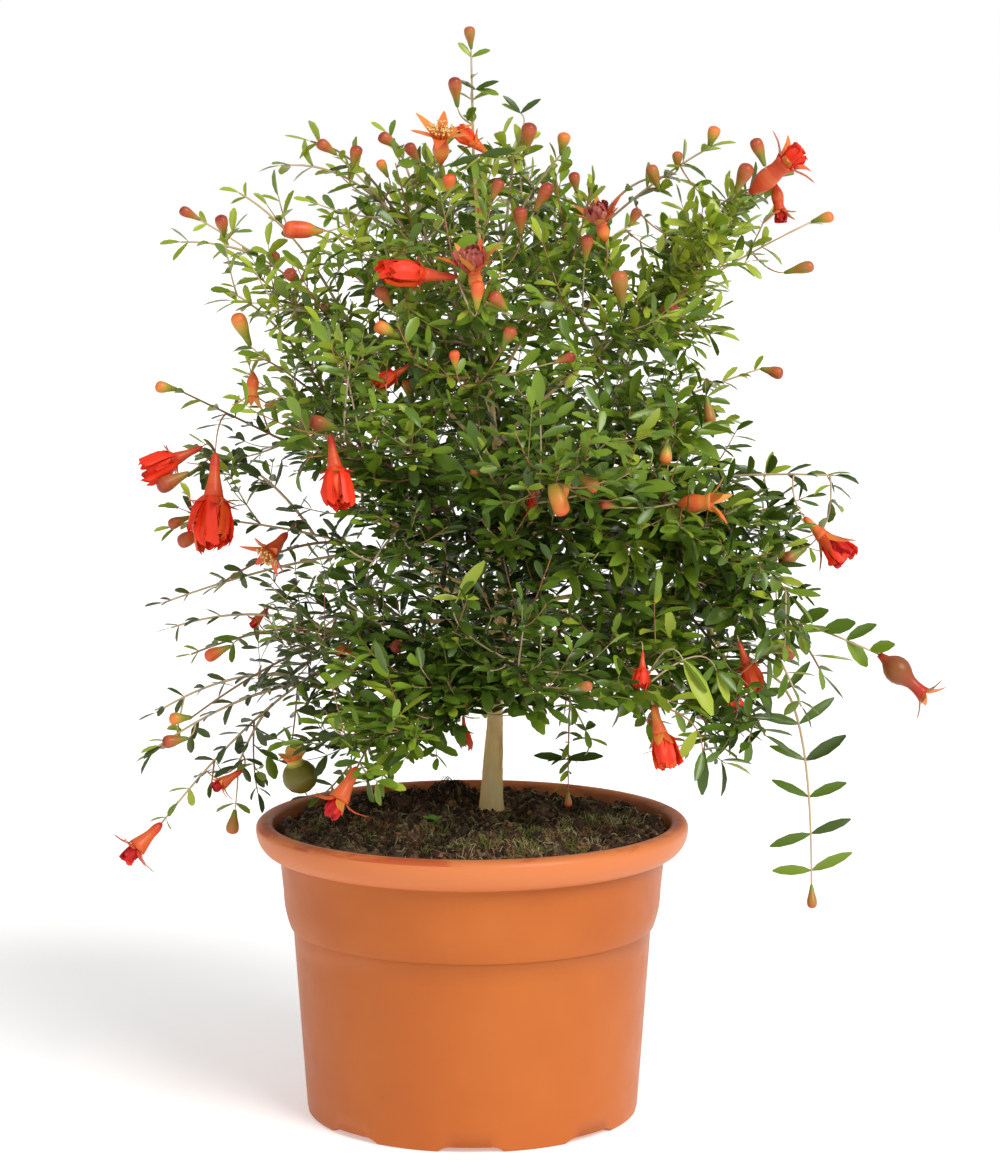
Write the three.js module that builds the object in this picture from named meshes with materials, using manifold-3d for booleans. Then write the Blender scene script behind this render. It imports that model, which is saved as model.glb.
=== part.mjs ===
/**
 * Dwarf pomegranate in flower, standing in its round plastic pot.
 *
 * Millimetres, +Z up. The origin is the middle of the pot's flat underside.
 * The trunk runs up through the crown. Limbs leave it all round, the inner part of each is a
 * bare bough and the outer part is the stem of one mass of twigs, leaves and blossom. Each mass
 * keeps to the space that lies nearer to its own stem than to any other.
 */
import * as THREE from 'three';
import { mergeVertices } from 'three/addons/utils/BufferGeometryUtils.js';
import Module from 'manifold-3d';

const wasm = await Module();
wasm.setup();

// ------------------------------------------------------------------ driving dimensions

const CLEARANCE = 0.35; // between two pieces that meet
const UP = new THREE.Vector3(0, 0, 1);

// Pot
const RIM_RADIUS = 100;
const POT_HEIGHT = 136.8;
const POT_SIDES = 32;
const BASE_RADIUS = 77;
const BASE_FILLET = 1.2;
const STEP_HEIGHT = 87.4;
const STEP_RADIUS = 83;
const LEDGE = 1.5; // the band stands out this far over the lower wall
const BAND_FOOT_RADIUS = 87.4; // where the band has curved out from the ledge
const BAND_FOOT_RISE = 15;
const BAND_TOP_RADIUS = 89.3;
const BAND_TOP_HEIGHT = 121.9;
const RIM_MIDDLE = 133.3; // height at which the rim is widest
const RIM_UNDERSIDE_RADIUS = 91.3;
const RIM_TOP_RADIUS = 95.5;
const RIM_INNER_RADIUS = 92.2;
const LIP_DROP = 1.3; // the inner edge of the rim lies this far under its top
const WALL = 2;
const WALL_DROP = 2; // the inside of the step lies this far under its outside
const FLOOR = 3.5;
const DRAIN_CHANNELS = 8;
const DRAIN_WIDTH = 27;
const DRAIN_HEIGHT = 2.5;
const FOOT_DISC_RADIUS = 34; // flat middle of the underside, inside the channels

// Compost
const SOIL_SIDES = 24;
const SOIL_EDGE = 132.5;
const SOIL_SHOULDER = 134.8;
const SOIL_TOP = 137;
const SOIL_SHOULDER_RADIUS = 60;
const SOIL_FLAT_RADIUS = 30;

// Trunk: the points that its axis passes through, from the soil to its tip
const TRUNK_FOOT = SOIL_TOP + CLEARANCE;
const TRUNK_ROUTE = [
  [9, 15, TRUNK_FOOT],
  [9, 15, 143],
  [11, 14, 190],
  [14, 8, 260],
  [9, 2, 330],
  [4, -4, 395],
  [1, -8, 440],
];
const TRUNK_SIDES = 8;
const TRUNK_STEPS = 14;
const TRUNK_RADIUS = 5.2;
const TRUNK_TIP_RADIUS = 1.4;
const ROOT_FLARE = 1;
const FLARE_HEIGHT = 8;

// Boughs and stems
const BOUGH_RADIUS = 2.3;
const BOUGH_TIP_RADIUS = 1.35;
const BOUGH_SIDES = 5;
const BOUGH_STEPS = 4;
const STEM_RADIUS = 1.7;
const STEM_TIP_RADIUS = 1.1;
const TWIG_RADIUS = 0.95;
const TWIG_ROOT_RADIUS = 0.5; // the end that is sunk in its stem
const TWIG_SIDES = 3;
const STEM_STEPS = 4;
const TWIG_STEPS = 2;

// Twigs and leaves
const GOLDEN_ANGLE = 2.39996;
const TWIG_ANGLE = 0.87; // between a stem and its side twigs
const TWIG_LIFT = 0.22; // side twigs turn up towards the light
const TWIG_LENGTH = 50;
const SHORTER = [1, 0.75, 0.55, 0.38]; // a twig that would leave its space is tried shorter
const LEAF_LENGTH = 42;
const LEAF_WIDTH = 17;
const LEAF_WIDEST = 0.56; // share of the length at which a leaf is widest
const LEAF_THICKNESS = 1.1;
const LEAF_TILT = 0.9; // leaves lean their faces away from the trunk
const LEAF_ANGLE = 0.95;
const LEAF_SUNK = 0.25; // a leaf starts this far behind the middle of its twig
const LEAF_STAGGER = 3;
const LEAF_TURNS = [0, 0.7, -0.7]; // ways round its twig that a leaf is tried
const LEAF_ROOM = 3.2; // half of the width that is kept free along a leaf's middle
const LEAF_EDGE_ROOM = 0.6; // and along its edges
const LEAF_SPACING = 5; // between the outer parts of two leaves of one mass
const TWIG_SPACING = 3;
const SPACE_MARGIN = 0.7;
const FACET_MARGIN = 0.15; // more than the clearance, for the flats of faceted limbs
const CROWN_TOP = 499;
const POT_MARGIN_RADIUS = RIM_RADIUS + 6;
const POT_MARGIN_HEIGHT = POT_HEIGHT + 4;

// Each row is a limb: name, height on the trunk, tip of the mass, rise of the arch, share that is
// bare bough, side twigs, and what the tip carries with the way it points (front view, degrees).
const LIMBS = [
  ['far_left_low', 208, [-144, 0, 134], 42, 0.36, 4, 'bell', 224],
  ['left_low', 220, [-128, -14, 186], 26, 0.34, 4, 'bud', 180],
  ['left_middle', 236, [-128, -12, 278], 34, 0.3, 4, 'bud', 200],
  ['left_upper', 263, [-134, 0, 335], 30, 0.32, 5, 'bud', 168],
  ['upper_left', 300, [-122, -10, 412], 66, 0.28, 5, 'bud', 149],
  ['upper_left_inner', 343, [-60, -20, 441], 62, 0.2, 4, 'bud', 143],
  ['front_left_low', 200, [-49, -92, 177], 40, 0.34, 4, 'bell', 240],
  ['front_left', 252, [-60, -86, 321], 44, 0.3, 5, 'bell', 278],
  ['front_low', 211, [22, -112, 218], 24, 0.32, 4, 'leaf', 0],
  ['front_middle', 239, [34, -112, 305], 38, 0.28, 4, 'bud', 291],
  ['front_right_low', 222, [80, -78, 202], 34, 0.32, 4, 'bell', 283],
  ['front_right', 256, [96, -74, 292], 36, 0.28, 5, 'star', 358],
  ['front_top', 318, [-6, -74, 386], 52, 0.22, 4, 'bell', 175],
  ['far_right_low', 230, [185, -20, 216], 30, 0.36, 5, 'calyx', 321],
  ['weeping_right', 243, [158, 4, 104], 118, 0.62, 3, 'bud', 271],
  ['right_middle', 267, [163, -26, 298], 34, 0.32, 5, 'leaf', 0],
  ['right_upper', 288, [131, -8, 345], 34, 0.3, 5, 'bud', 348],
  ['upper_right', 309, [154, 0, 411], 62, 0.28, 5, 'bud', 18],
  ['upper_right_inner', 346, [106, -20, 444], 66, 0.24, 4, 'bud', 74],
  ['back_right_low', 214, [118, 104, 190], 40, 0.3, 4, 'bell', 300],
  ['back_low', 204, [8, 150, 186], 40, 0.32, 4, 'bud', 250],
  ['back_left_low', 229, [-104, 104, 182], 36, 0.3, 4, 'leaf', 0],
  ['back_right', 275, [124, 92, 314], 40, 0.3, 4, 'bell', 310],
  ['back', 247, [18, 142, 296], 38, 0.3, 5, 'bell', 265],
  ['back_left', 281, [-92, 104, 322], 40, 0.3, 4, 'bud', 190],
  ['back_right_top', 331, [74, 72, 408], 58, 0.24, 4, 'bud', 60],
  ['back_left_top', 324, [-42, 82, 416], 56, 0.24, 4, 'bell', 110],
  ['top_right', 385, [40, -22, 441], 32, 0, 3, 'bud', 80],
  ['leader', 440, [0, -10, 488], 20, 0, 2, 'bud', 95],
].map(([name, height, tip, rise, bare, twigs, ends, points]) => (
  { name, height, tip, rise, bare, twigs, ends, points }));

// Blossom, buds and fruit on side twigs: the mass they grow on, their foot and their way.
const SIDE_BLOOMS = [
  { on: 'left_middle', kind: 'bell', foot: [-116, -24, 304], points: 268 },
  { on: 'left_middle', kind: 'bell', foot: [-122, 2, 306], points: 206 },
  { on: 'left_middle', kind: 'star', foot: [-84, -28, 272], points: 227 },
  { on: 'left_upper', kind: 'star', foot: [-98, -18, 341], points: 94 },
  { on: 'upper_left', kind: 'bud', foot: [-66, -22, 402], points: 172 },
  { on: 'far_left_low', kind: 'fruit', foot: [-76, -40, 178], points: 270 },
  { on: 'leader', kind: 'star', foot: [-8, -22, 452], points: 100 },
  { on: 'upper_right', kind: 'bell', foot: [130, -8, 424], points: 42 },
  { on: 'right_middle', kind: 'bell', foot: [149, -30, 279], points: 317 },
];

// Bloom sizes: length, and the outline's (radius, height) steps as shares of the length
const BLOOMS = {
  bud: { length: 12, sides: 5, outline: [[0, 0], [0.24, 0.2], [0.3, 0.66], [0, 1]] },
  bell: { length: 28, sides: 5, outline: [[0, 0], [0.16, 0.26], [0.14, 0.5], [0.32, 1], [0, 0.86]] },
  star: { length: 24, sides: 5, outline: [[0, 0], [0.18, 0.3], [0.14, 0.6], [0.36, 1], [0, 0.8]] },
  calyx: { length: 34, sides: 5, outline: [[0, 0], [0.19, 0.2], [0.1, 0.52], [0.25, 1], [0, 0.9]] },
  fruit: {
    length: 22,
    sides: 6,
    outline: [[0, 0], [0.34, 0.16], [0.32, 0.45], [0.13, 0.68], [0.2, 1], [0, 0.9]],
  },
};
const BLOOM_SUNK = 1.4; // a bloom starts this far inside the end of its twig
const BLOOM_DEPTH = -0.25; // blooms lean a little to the front
const BLOOM_GIRTH = 0.36; // greatest radius, as a share of the length
const BLOOM_REACH = 0.2; // a bloom's twig leaves its stem this far before the nearest point

// ------------------------------------------------------------------ solids

function toSolid(geometry) {
  const bare = geometry.clone();
  bare.deleteAttribute('normal');
  bare.deleteAttribute('uv');
  const merged = mergeVertices(bare, 1e-4);
  return new wasm.Manifold(new wasm.Mesh({
    numProp: 3,
    vertProperties: new Float32Array(merged.attributes.position.array),
    triVerts: new Uint32Array(merged.index.array),
  }));
}

function toGeometry(solid) {
  const mesh = solid.getMesh();
  const geometry = new THREE.BufferGeometry();
  geometry.setAttribute('position', new THREE.BufferAttribute(mesh.vertProperties, 3));
  geometry.setIndex(new THREE.BufferAttribute(mesh.triVerts, 1));
  geometry.computeVertexNormals();
  return geometry;
}

/** The main body of a solid, without loose scraps and sealed hollows. */
function mainBody(solid) {
  const bodies = solid.decompose();
  bodies.sort((one, other) => other.volume() - one.volume());
  return bodies[0];
}

/** A vector across a direction, turned about it by an angle. */
function across(direction, angle) {
  const side = new THREE.Vector3().crossVectors(direction, UP);
  if (side.length() < 0.05) side.set(1, 0, 0);
  side.normalize();
  return side.applyAxisAngle(direction, angle);
}

/** A closed tube along a curve, its radius given by a function of the way along. */
function tube(curve, radiusAt, sides, steps) {
  const geometry = new THREE.CylinderGeometry(1, 1, 1, sides, steps);
  const frames = curve.computeFrenetFrames(steps);
  const place = geometry.attributes.position;
  for (let index = 0; index < place.count; index += 1) {
    const step = Math.round((place.getY(index) + 0.5) * steps);
    const point = curve.getPointAt(step / steps);
    const radius = radiusAt(step / steps);
    point.addScaledVector(frames.normals[step], place.getX(index) * radius);
    point.addScaledVector(frames.binormals[step], -place.getZ(index) * radius);
    place.setXYZ(index, point.x, point.y, point.z);
  }
  return geometry;
}

/** Moves a shape that stands along +Z to a foot, pointing along a direction. */
function stand(geometry, foot, direction) {
  const turn = new THREE.Quaternion().setFromUnitVectors(UP, direction);
  geometry.applyQuaternion(turn);
  geometry.translate(foot.x, foot.y, foot.z);
  return geometry;
}

/** A turned shape: outline points are [radius, height]. */
function turned(outline, sides) {
  const points = outline.map(([radius, height]) => new THREE.Vector2(radius, height));
  const geometry = new THREE.LatheGeometry(points, sides);
  geometry.rotateX(Math.PI / 2);
  return geometry;
}

// ------------------------------------------------------------------ pot and compost

/** Points on an elliptic arc, as [radius, height], angles in degrees. */
function arc(middle, half, from, to, count) {
  const points = [];
  for (let step = 0; step <= count; step += 1) {
    const angle = THREE.MathUtils.degToRad(from + (to - from) * step / count);
    points.push([middle[0] + half[0] * Math.cos(angle), middle[1] + half[1] * Math.sin(angle)]);
  }
  return points;
}

function potOutline() {
  const underside = [RIM_UNDERSIDE_RADIUS, RIM_MIDDLE];
  const underHalf = [RIM_RADIUS - RIM_UNDERSIDE_RADIUS, RIM_MIDDLE - BAND_TOP_HEIGHT];
  const top = [RIM_TOP_RADIUS, RIM_MIDDLE];
  const topHalf = [RIM_RADIUS - RIM_TOP_RADIUS, POT_HEIGHT - RIM_MIDDLE];
  return [
    [0, 0],
    [BASE_RADIUS - BASE_FILLET, 0],
    [BASE_RADIUS, BASE_FILLET],
    [STEP_RADIUS, STEP_HEIGHT],
    [STEP_RADIUS + LEDGE, STEP_HEIGHT],
    [BAND_FOOT_RADIUS, STEP_HEIGHT + BAND_FOOT_RISE],
    [BAND_TOP_RADIUS, BAND_TOP_HEIGHT],
    ...arc(underside, underHalf, -90, 0, 3),
    ...arc(top, topHalf, 45, 90, 1),
    [RIM_INNER_RADIUS, POT_HEIGHT - LIP_DROP],
    [BAND_TOP_RADIUS - WALL, BAND_TOP_HEIGHT],
    [STEP_RADIUS - WALL, STEP_HEIGHT - WALL_DROP],
    [BASE_RADIUS - WALL, FLOOR],
    [0, FLOOR],
  ];
}

function makePot() {
  let pot = toSolid(turned(potOutline(), POT_SIDES));
  const length = RIM_RADIUS - FOOT_DISC_RADIUS;
  for (let index = 0; index < DRAIN_CHANNELS; index += 1) {
    const channel = new THREE.BoxGeometry(length, DRAIN_WIDTH, 2 * DRAIN_HEIGHT);
    channel.translate(FOOT_DISC_RADIUS + length / 2, 0, 0);
    channel.rotateZ(index * 2 * Math.PI / DRAIN_CHANNELS);
    pot = pot.subtract(toSolid(channel));
  }
  return toGeometry(pot);
}

function makeSoil() {
  const gap = CLEARANCE + 0.1;
  const wallRadius = BAND_TOP_RADIUS - WALL;
  const slope = (RIM_INNER_RADIUS - wallRadius) / (POT_HEIGHT - LIP_DROP - BAND_TOP_HEIGHT);
  const edgeRadius = wallRadius + (SOIL_EDGE - BAND_TOP_HEIGHT) * slope;
  return toGeometry(toSolid(turned([
    [0, FLOOR + gap],
    [BASE_RADIUS - WALL - 2 * gap, FLOOR + gap],
    [STEP_RADIUS - WALL - 2 * gap, STEP_HEIGHT - WALL_DROP],
    [wallRadius - 2 * gap, BAND_TOP_HEIGHT],
    [edgeRadius - 2 * gap, SOIL_EDGE],
    [SOIL_SHOULDER_RADIUS, SOIL_SHOULDER],
    [SOIL_FLAT_RADIUS, SOIL_TOP],
    [0, SOIL_TOP],
  ], SOIL_SIDES)));
}

// ------------------------------------------------------------------ trunk and limbs

const vector = ([x, y, z]) => new THREE.Vector3(x, y, z);
const trunkCurve = new THREE.CatmullRomCurve3(TRUNK_ROUTE.map(vector));
const trunkLength = trunkCurve.getLength();

function trunkRadius(along) {
  const taper = TRUNK_TIP_RADIUS + (TRUNK_RADIUS - TRUNK_TIP_RADIUS) * (1 - along) ** 0.9;
  return taper + ROOT_FLARE * Math.exp(-along * trunkLength / FLARE_HEIGHT);
}

/** The trunk as a solid, made thicker all round by a clearance. */
function trunkSolid(grown) {
  return toSolid(tube(trunkCurve, (along) => trunkRadius(along) + grown, TRUNK_SIDES, TRUNK_STEPS));
}

/** How far along the trunk a height lies, from 0 at its foot to 1 at its tip. */
function trunkAt(height) {
  let low = 0;
  let high = 1;
  for (let round = 0; round < 30; round += 1) {
    const middle = (low + high) / 2;
    if (trunkCurve.getPointAt(middle).z < height) low = middle;
    else high = middle;
  }
  return low;
}

/** A stretch of another curve, between two shares of its length. */
class Stretch extends THREE.Curve {
  constructor(whole, from, to) {
    super();
    this.whole = whole;
    this.from = from;
    this.to = to;
  }

  getPoint(t, target = new THREE.Vector3()) {
    return this.whole.getPointAt(this.from + (this.to - this.from) * t, target);
  }
}

/** The whole run of a limb: it arches from the trunk to the tip of its mass. */
function limbCurve(limb) {
  const start = trunkCurve.getPointAt(trunkAt(limb.height));
  const tip = vector(limb.tip);
  const knee = start.clone().lerp(tip, 0.42);
  knee.z = start.z + limb.rise;
  return new THREE.QuadraticBezierCurve3(start, knee, tip);
}

const limbs = LIMBS.map((limb, index) => {
  const whole = limbCurve(limb);
  const gap = CLEARANCE / whole.getLength();
  return {
    ...limb,
    seed: 101 + 17 * index,
    thickness: Math.min(BOUGH_RADIUS, 0.6 * trunkRadius(trunkAt(limb.height))),
    bough: limb.bare > 0 ? new Stretch(whole, 0, limb.bare) : null,
    stem: new Stretch(whole, limb.bare + gap, 1),
  };
});

function boughRadius(limb, along) {
  return limb.thickness + (BOUGH_TIP_RADIUS - limb.thickness) * along;
}

function makeBough(limb) {
  const whole = toSolid(tube(limb.bough, (along) => boughRadius(limb, along), BOUGH_SIDES, BOUGH_STEPS));
  return toGeometry(mainBody(whole.subtract(grownTrunk)));
}

// ------------------------------------------------------------------ room for twigs and leaves

/** The least distance between two straight pieces, each given by its two ends. */
function between(a, b, c, d) {
  const one = b.clone().sub(a);
  const other = d.clone().sub(c);
  const apart = a.clone().sub(c);
  const oneOne = one.dot(one);
  const otherOther = other.dot(other);
  const oneOther = one.dot(other);
  const oneApart = one.dot(apart);
  const otherApart = other.dot(apart);
  const spread = oneOne * otherOther - oneOther * oneOther;
  const clamp = (value) => Math.min(1, Math.max(0, value));
  let s = spread > 1e-9 ? clamp((oneOther * otherApart - oneApart * otherOther) / spread) : 0;
  const t = clamp((oneOther * s + otherApart) / otherOther);
  s = clamp((oneOther * t - oneApart) / oneOne);
  return a.clone().addScaledVector(one, s).distanceTo(c.clone().addScaledVector(other, t));
}

/** A curve as straight pieces with the limb's thickness at each. */
function barePieces(curve, radiusAt, count) {
  const pieces = [];
  for (let step = 0; step < count; step += 1) {
    const from = curve.getPointAt(step / count);
    const to = curve.getPointAt((step + 1) / count);
    pieces.push({ from, to, radius: radiusAt(step / count) });
  }
  return pieces;
}

const bareWood = barePieces(trunkCurve, trunkRadius, 24);
for (const limb of limbs) {
  if (limb.bough) bareWood.push(...barePieces(limb.bough, (along) => boughRadius(limb, along), 5));
}

function bloomDirection(degrees) {
  const angle = THREE.MathUtils.degToRad(degrees);
  return new THREE.Vector3(Math.cos(angle), BLOOM_DEPTH, Math.sin(angle)).normalize();
}

/** The point of a stem from which the twig of a side bloom leaves. */
function bloomTwigStart(stem, foot) {
  let nearest = 0;
  for (let step = 1; step <= 40; step += 1) {
    const here = stem.getPointAt(step / 40).distanceTo(foot);
    if (here < stem.getPointAt(nearest).distanceTo(foot)) nearest = step / 40;
  }
  return stem.getPointAt(Math.max(0.02, nearest - BLOOM_REACH));
}

/** The room that a bloom takes, as a straight piece with a radius. */
function bloomPiece(kind, foot, points, owner) {
  const { length } = BLOOMS[kind];
  const to = foot.clone().addScaledVector(bloomDirection(points), length);
  return { from: foot, to, radius: BLOOM_GIRTH * length, owner };
}

limbs.forEach((limb, owner) => {
  if (limb.ends !== 'leaf') {
    bareWood.push(bloomPiece(limb.ends, limb.stem.getPointAt(1), limb.points, owner));
  }
  for (const { kind, foot, points } of SIDE_BLOOMS.filter(({ on }) => on === limb.name)) {
    const end = vector(foot);
    bareWood.push({ from: bloomTwigStart(limb.stem, end), to: end, radius: TWIG_RADIUS, owner });
    bareWood.push(bloomPiece(kind, end, points, owner));
  }
});
const stemPieces = limbs.map((limb) => barePieces(limb.stem, () => STEM_RADIUS, 6));

function toSegment(point, piece) {
  const span = piece.to.clone().sub(piece.from);
  const share = point.clone().sub(piece.from).dot(span) / span.lengthSq();
  return point.distanceTo(piece.from.clone().addScaledVector(span, Math.min(1, Math.max(0, share))));
}

/** A point lies in a mass's own space when its stem is the nearest of all, by a margin. */
function inOwnSpace(point, index) {
  const own = Math.min(...stemPieces[index].map((piece) => toSegment(point, piece)));
  return stemPieces.every((pieces, other) => other === index
    || pieces.every((piece) => toSegment(point, piece) > own + SPACE_MARGIN));
}

/** A point lies below the top of the crown, and above the pot or outside it. */
function inCrown(point) {
  return point.z < CROWN_TOP
    && (point.z > POT_MARGIN_HEIGHT || Math.hypot(point.x, point.y) > POT_MARGIN_RADIUS);
}

/** Whether a straight piece stays clear of the bare wood and of the other masses' blossom. */
function clearOfOthers(from, to, halfWidth, index) {
  return bareWood.every((piece) => piece.owner === index
    || between(from, to, piece.from, piece.to) > piece.radius + halfWidth + CLEARANCE + FACET_MARGIN);
}

/** Whether a straight piece with some width fits the mass's own space. */
function fits(from, to, halfWidth, index) {
  const middle = from.clone().lerp(to, 0.5);
  return [from, middle, to].every((point) => inOwnSpace(point, index) && inCrown(point))
    && clearOfOthers(from, to, halfWidth, index);
}

// ------------------------------------------------------------------ masses of foliage

/** Numbers from 0 to 1 that a seed repeats. */
function seeded(seed) {
  let state = seed;
  return () => {
    state = (state * 1103515245 + 12345) % 2147483648;
    return state / 2147483648;
  };
}

/** A leaf: a thin keeled blade, its two edges lower than the line from root to tip. */
function leaf(root, direction, face, length) {
  const side = new THREE.Vector3().crossVectors(face, direction).normalize();
  const normal = new THREE.Vector3().crossVectors(direction, side);
  const halfWidth = LEAF_WIDTH * length / LEAF_LENGTH / 2;
  const keel = root.clone().addScaledVector(direction, LEAF_WIDEST * length);
  keel.addScaledVector(normal, -LEAF_THICKNESS);
  const tip = root.clone().addScaledVector(direction, length);
  const left = keel.clone().addScaledVector(side, halfWidth);
  const right = keel.clone().addScaledVector(side, -halfWidth);
  const blade = new THREE.TetrahedronGeometry(1, 0);
  const place = blade.attributes.position;
  for (let index = 0; index < place.count; index += 1) {
    const [lengthwise, sideways] = [place.getZ(index) > 0, place.getX(index) > 0];
    const corner = lengthwise ? (sideways ? tip : root) : (sideways ? right : left);
    place.setXYZ(index, corner.x, corner.y, corner.z);
  }
  return { blade, root, tip, left, right };
}

/** Whether a piece keeps a distance from what its own mass already holds, past its first part. */
function apart(mass, from, to, distance) {
  const start = from.clone().lerp(to, 0.3);
  return mass.held.every((piece) => between(start, to, piece.from, piece.to) > distance);
}

/** One leaf on a twig; it is skipped where it would leave the space or touch anything. */
function tryLeaf(mass, point, direction, length) {
  const outward = point.clone().sub(trunkCurve.getPointAt(0.6)).setZ(0).normalize();
  const face = UP.clone().addScaledVector(outward, LEAF_TILT);
  const root = point.clone().addScaledVector(direction, -LEAF_SUNK);
  const made = leaf(root, direction, face, length);
  const edges = [[root, made.left], [made.left, made.tip], [root, made.right], [made.right, made.tip]];
  const room = apart(mass, root, made.tip, LEAF_SPACING) && fits(root, made.tip, LEAF_ROOM, mass.index)
    && edges.every(([from, to]) => fits(from, to, LEAF_EDGE_ROOM, mass.index));
  if (!room) return false;
  mass.pieces.push(toSolid(made.blade));
  mass.held.push({ from: root.clone().lerp(made.tip, 0.3), to: made.tip });
  return true;
}

/** Two leaves, one on each side of a twig and one a little further along than the other. */
function leafPair(mass, curve, along, turn) {
  const tangent = curve.getTangentAt(along);
  const stagger = LEAF_STAGGER / curve.getLength();
  for (const side of [0, 1]) {
    const point = curve.getPointAt(along - side * stagger);
    const length = LEAF_LENGTH * (0.86 + 0.28 * mass.random());
    for (const extra of LEAF_TURNS) {
      const direction = tangent.clone().multiplyScalar(Math.cos(LEAF_ANGLE));
      const outward = across(tangent, turn + extra + side * Math.PI);
      direction.addScaledVector(outward, Math.sin(LEAF_ANGLE)).normalize();
      if (tryLeaf(mass, point, direction, length)) break;
    }
  }
}

/** A bloom, bud or fruit standing on the end of a twig. */
function bloom(kind, foot, direction) {
  const { length, sides, outline } = BLOOMS[kind];
  const scaled = outline.map(([radius, height]) => [radius * length, height * length]);
  const start = foot.clone().addScaledVector(direction, -BLOOM_SUNK);
  return toSolid(stand(turned(scaled, sides), start, direction));
}

/** A twig's thickness: it is thinner where it is sunk in its stem. */
function twigRadius(along) {
  return along > 0 ? TWIG_RADIUS : TWIG_ROOT_RADIUS;
}

/** A side twig with a pair of leaves and a leaf at its end, as long as its space allows. */
function sideTwig(mass, along, turn) {
  const start = mass.limb.stem.getPointAt(along);
  const tangent = mass.limb.stem.getTangentAt(along);
  const direction = tangent.clone().multiplyScalar(Math.cos(TWIG_ANGLE));
  direction.addScaledVector(across(tangent, turn), Math.sin(TWIG_ANGLE));
  direction.normalize();
  const knee = new THREE.Vector3();
  const full = TWIG_LENGTH * (1 - 0.6 * along) * (0.85 + 0.3 * mass.random());
  for (const share of SHORTER) {
    const length = full * share;
    knee.copy(start).addScaledVector(direction, length / 2);
    const tip = start.clone().addScaledVector(direction, length).addScaledVector(UP, TWIG_LIFT * length);
    if (fits(start, knee, TWIG_RADIUS, mass.index) && fits(knee, tip, TWIG_RADIUS, mass.index)
      && apart(mass, start, knee, TWIG_SPACING) && apart(mass, knee, tip, TWIG_SPACING)) {
      const curve = new THREE.QuadraticBezierCurve3(start, knee, tip);
      mass.pieces.push(toSolid(tube(curve, twigRadius, TWIG_SIDES, TWIG_STEPS)));
      mass.held.push({ from: start, to: knee }, { from: knee, to: tip });
      leafPair(mass, curve, 0.6, turn + Math.PI / 2);
      tryLeaf(mass, tip, curve.getTangentAt(1), LEAF_LENGTH);
      return;
    }
  }
}

/** The bloom or pair of leaves at the tip of a stem. */
function endStem(mass) {
  const { stem, ends, points } = mass.limb;
  if (ends === 'leaf') {
    leafPair(mass, stem, 0.94, 0);
    tryLeaf(mass, stem.getPointAt(1), stem.getTangentAt(1), LEAF_LENGTH);
  } else {
    const end = stem.getPointAt(1);
    const reach = bloomDirection(points).multiplyScalar(BLOOMS[ends].length);
    mass.pieces.push(bloom(ends, end, bloomDirection(points)));
    mass.held.push({ from: end, to: end.clone().add(reach) });
  }
}

function sideBloom(mass, { kind, foot, points }) {
  const end = vector(foot);
  const start = bloomTwigStart(mass.limb.stem, end);
  mass.pieces.push(toSolid(tube(new THREE.LineCurve3(start, end), twigRadius, TWIG_SIDES, 1)));
  mass.pieces.push(bloom(kind, end, bloomDirection(points)));
  const reach = bloomDirection(points).multiplyScalar(BLOOMS[kind].length);
  mass.held.push({ from: start, to: end }, { from: end, to: end.clone().add(reach) });
}

function makeMass(limb, index) {
  const mass = { limb, index, random: seeded(limb.seed), pieces: [], held: [] };
  const radiusAt = (along) => STEM_RADIUS + (STEM_TIP_RADIUS - STEM_RADIUS) * along;
  mass.pieces.push(toSolid(tube(limb.stem, radiusAt, TWIG_SIDES, STEM_STEPS)));
  mass.held.push(...stemPieces[index]);
  endStem(mass);
  SIDE_BLOOMS.filter(({ on }) => on === limb.name).forEach((row) => sideBloom(mass, row));
  for (let twig = 0; twig < limb.twigs; twig += 1) {
    const along = 0.05 + 0.8 * twig / limb.twigs;
    sideTwig(mass, along, mass.random() * 0.8 + twig * GOLDEN_ANGLE);
  }
  for (let pair = 0; pair < limb.twigs; pair += 1) {
    leafPair(mass, limb.stem, 0.1 + 0.8 * (pair + 0.5) / limb.twigs, pair * Math.PI / 2);
  }
  let whole = wasm.Manifold.union(mass.pieces);
  if (!limb.bough) whole = whole.subtract(grownTrunk);
  return toGeometry(mainBody(whole).simplify(0.01));
}

// ------------------------------------------------------------------ the plant in its pot

const finish = {
  plastic: { color: 0xc8642f, roughness: 0.45, metalness: 0 },
  compost: { color: 0x3a2a1c, roughness: 1, metalness: 0 },
  bark: { color: 0x8a6f4e, roughness: 0.85, metalness: 0 },
  foliage: { color: 0x3f6b1f, roughness: 0.5, metalness: 0 },
};

function named(name, geometry, look) {
  const mesh = new THREE.Mesh(geometry, new THREE.MeshStandardMaterial(finish[look]));
  mesh.name = name;
  return mesh;
}

const grownTrunk = trunkSolid(CLEARANCE);
const group = new THREE.Group();
group.add(named('pot', makePot(), 'plastic'));
group.add(named('soil', makeSoil(), 'compost'));
group.add(named('trunk', toGeometry(trunkSolid(0)), 'bark'));
limbs.forEach((limb, index) => {
  if (limb.bough) group.add(named(`bough_${limb.name}`, makeBough(limb), 'bark'));
  group.add(named(`foliage_${limb.name}`, makeMass(limb, index), 'foliage'));
});

export default group;
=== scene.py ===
"""A dwarf pomegranate in flower in its round nursery pot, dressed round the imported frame.

Sizes are in millimetres up to the point where a mesh is made, and meshes are in metres.
The limbs follow the frame's own rule: each arches from the trunk to the tip of its mass. Here
every stem carries side shoots, finer shoots on those, leaves in pairs, and blossom.
"""
import math
import random

import bpy
import numpy as np
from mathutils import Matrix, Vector, noise


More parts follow.
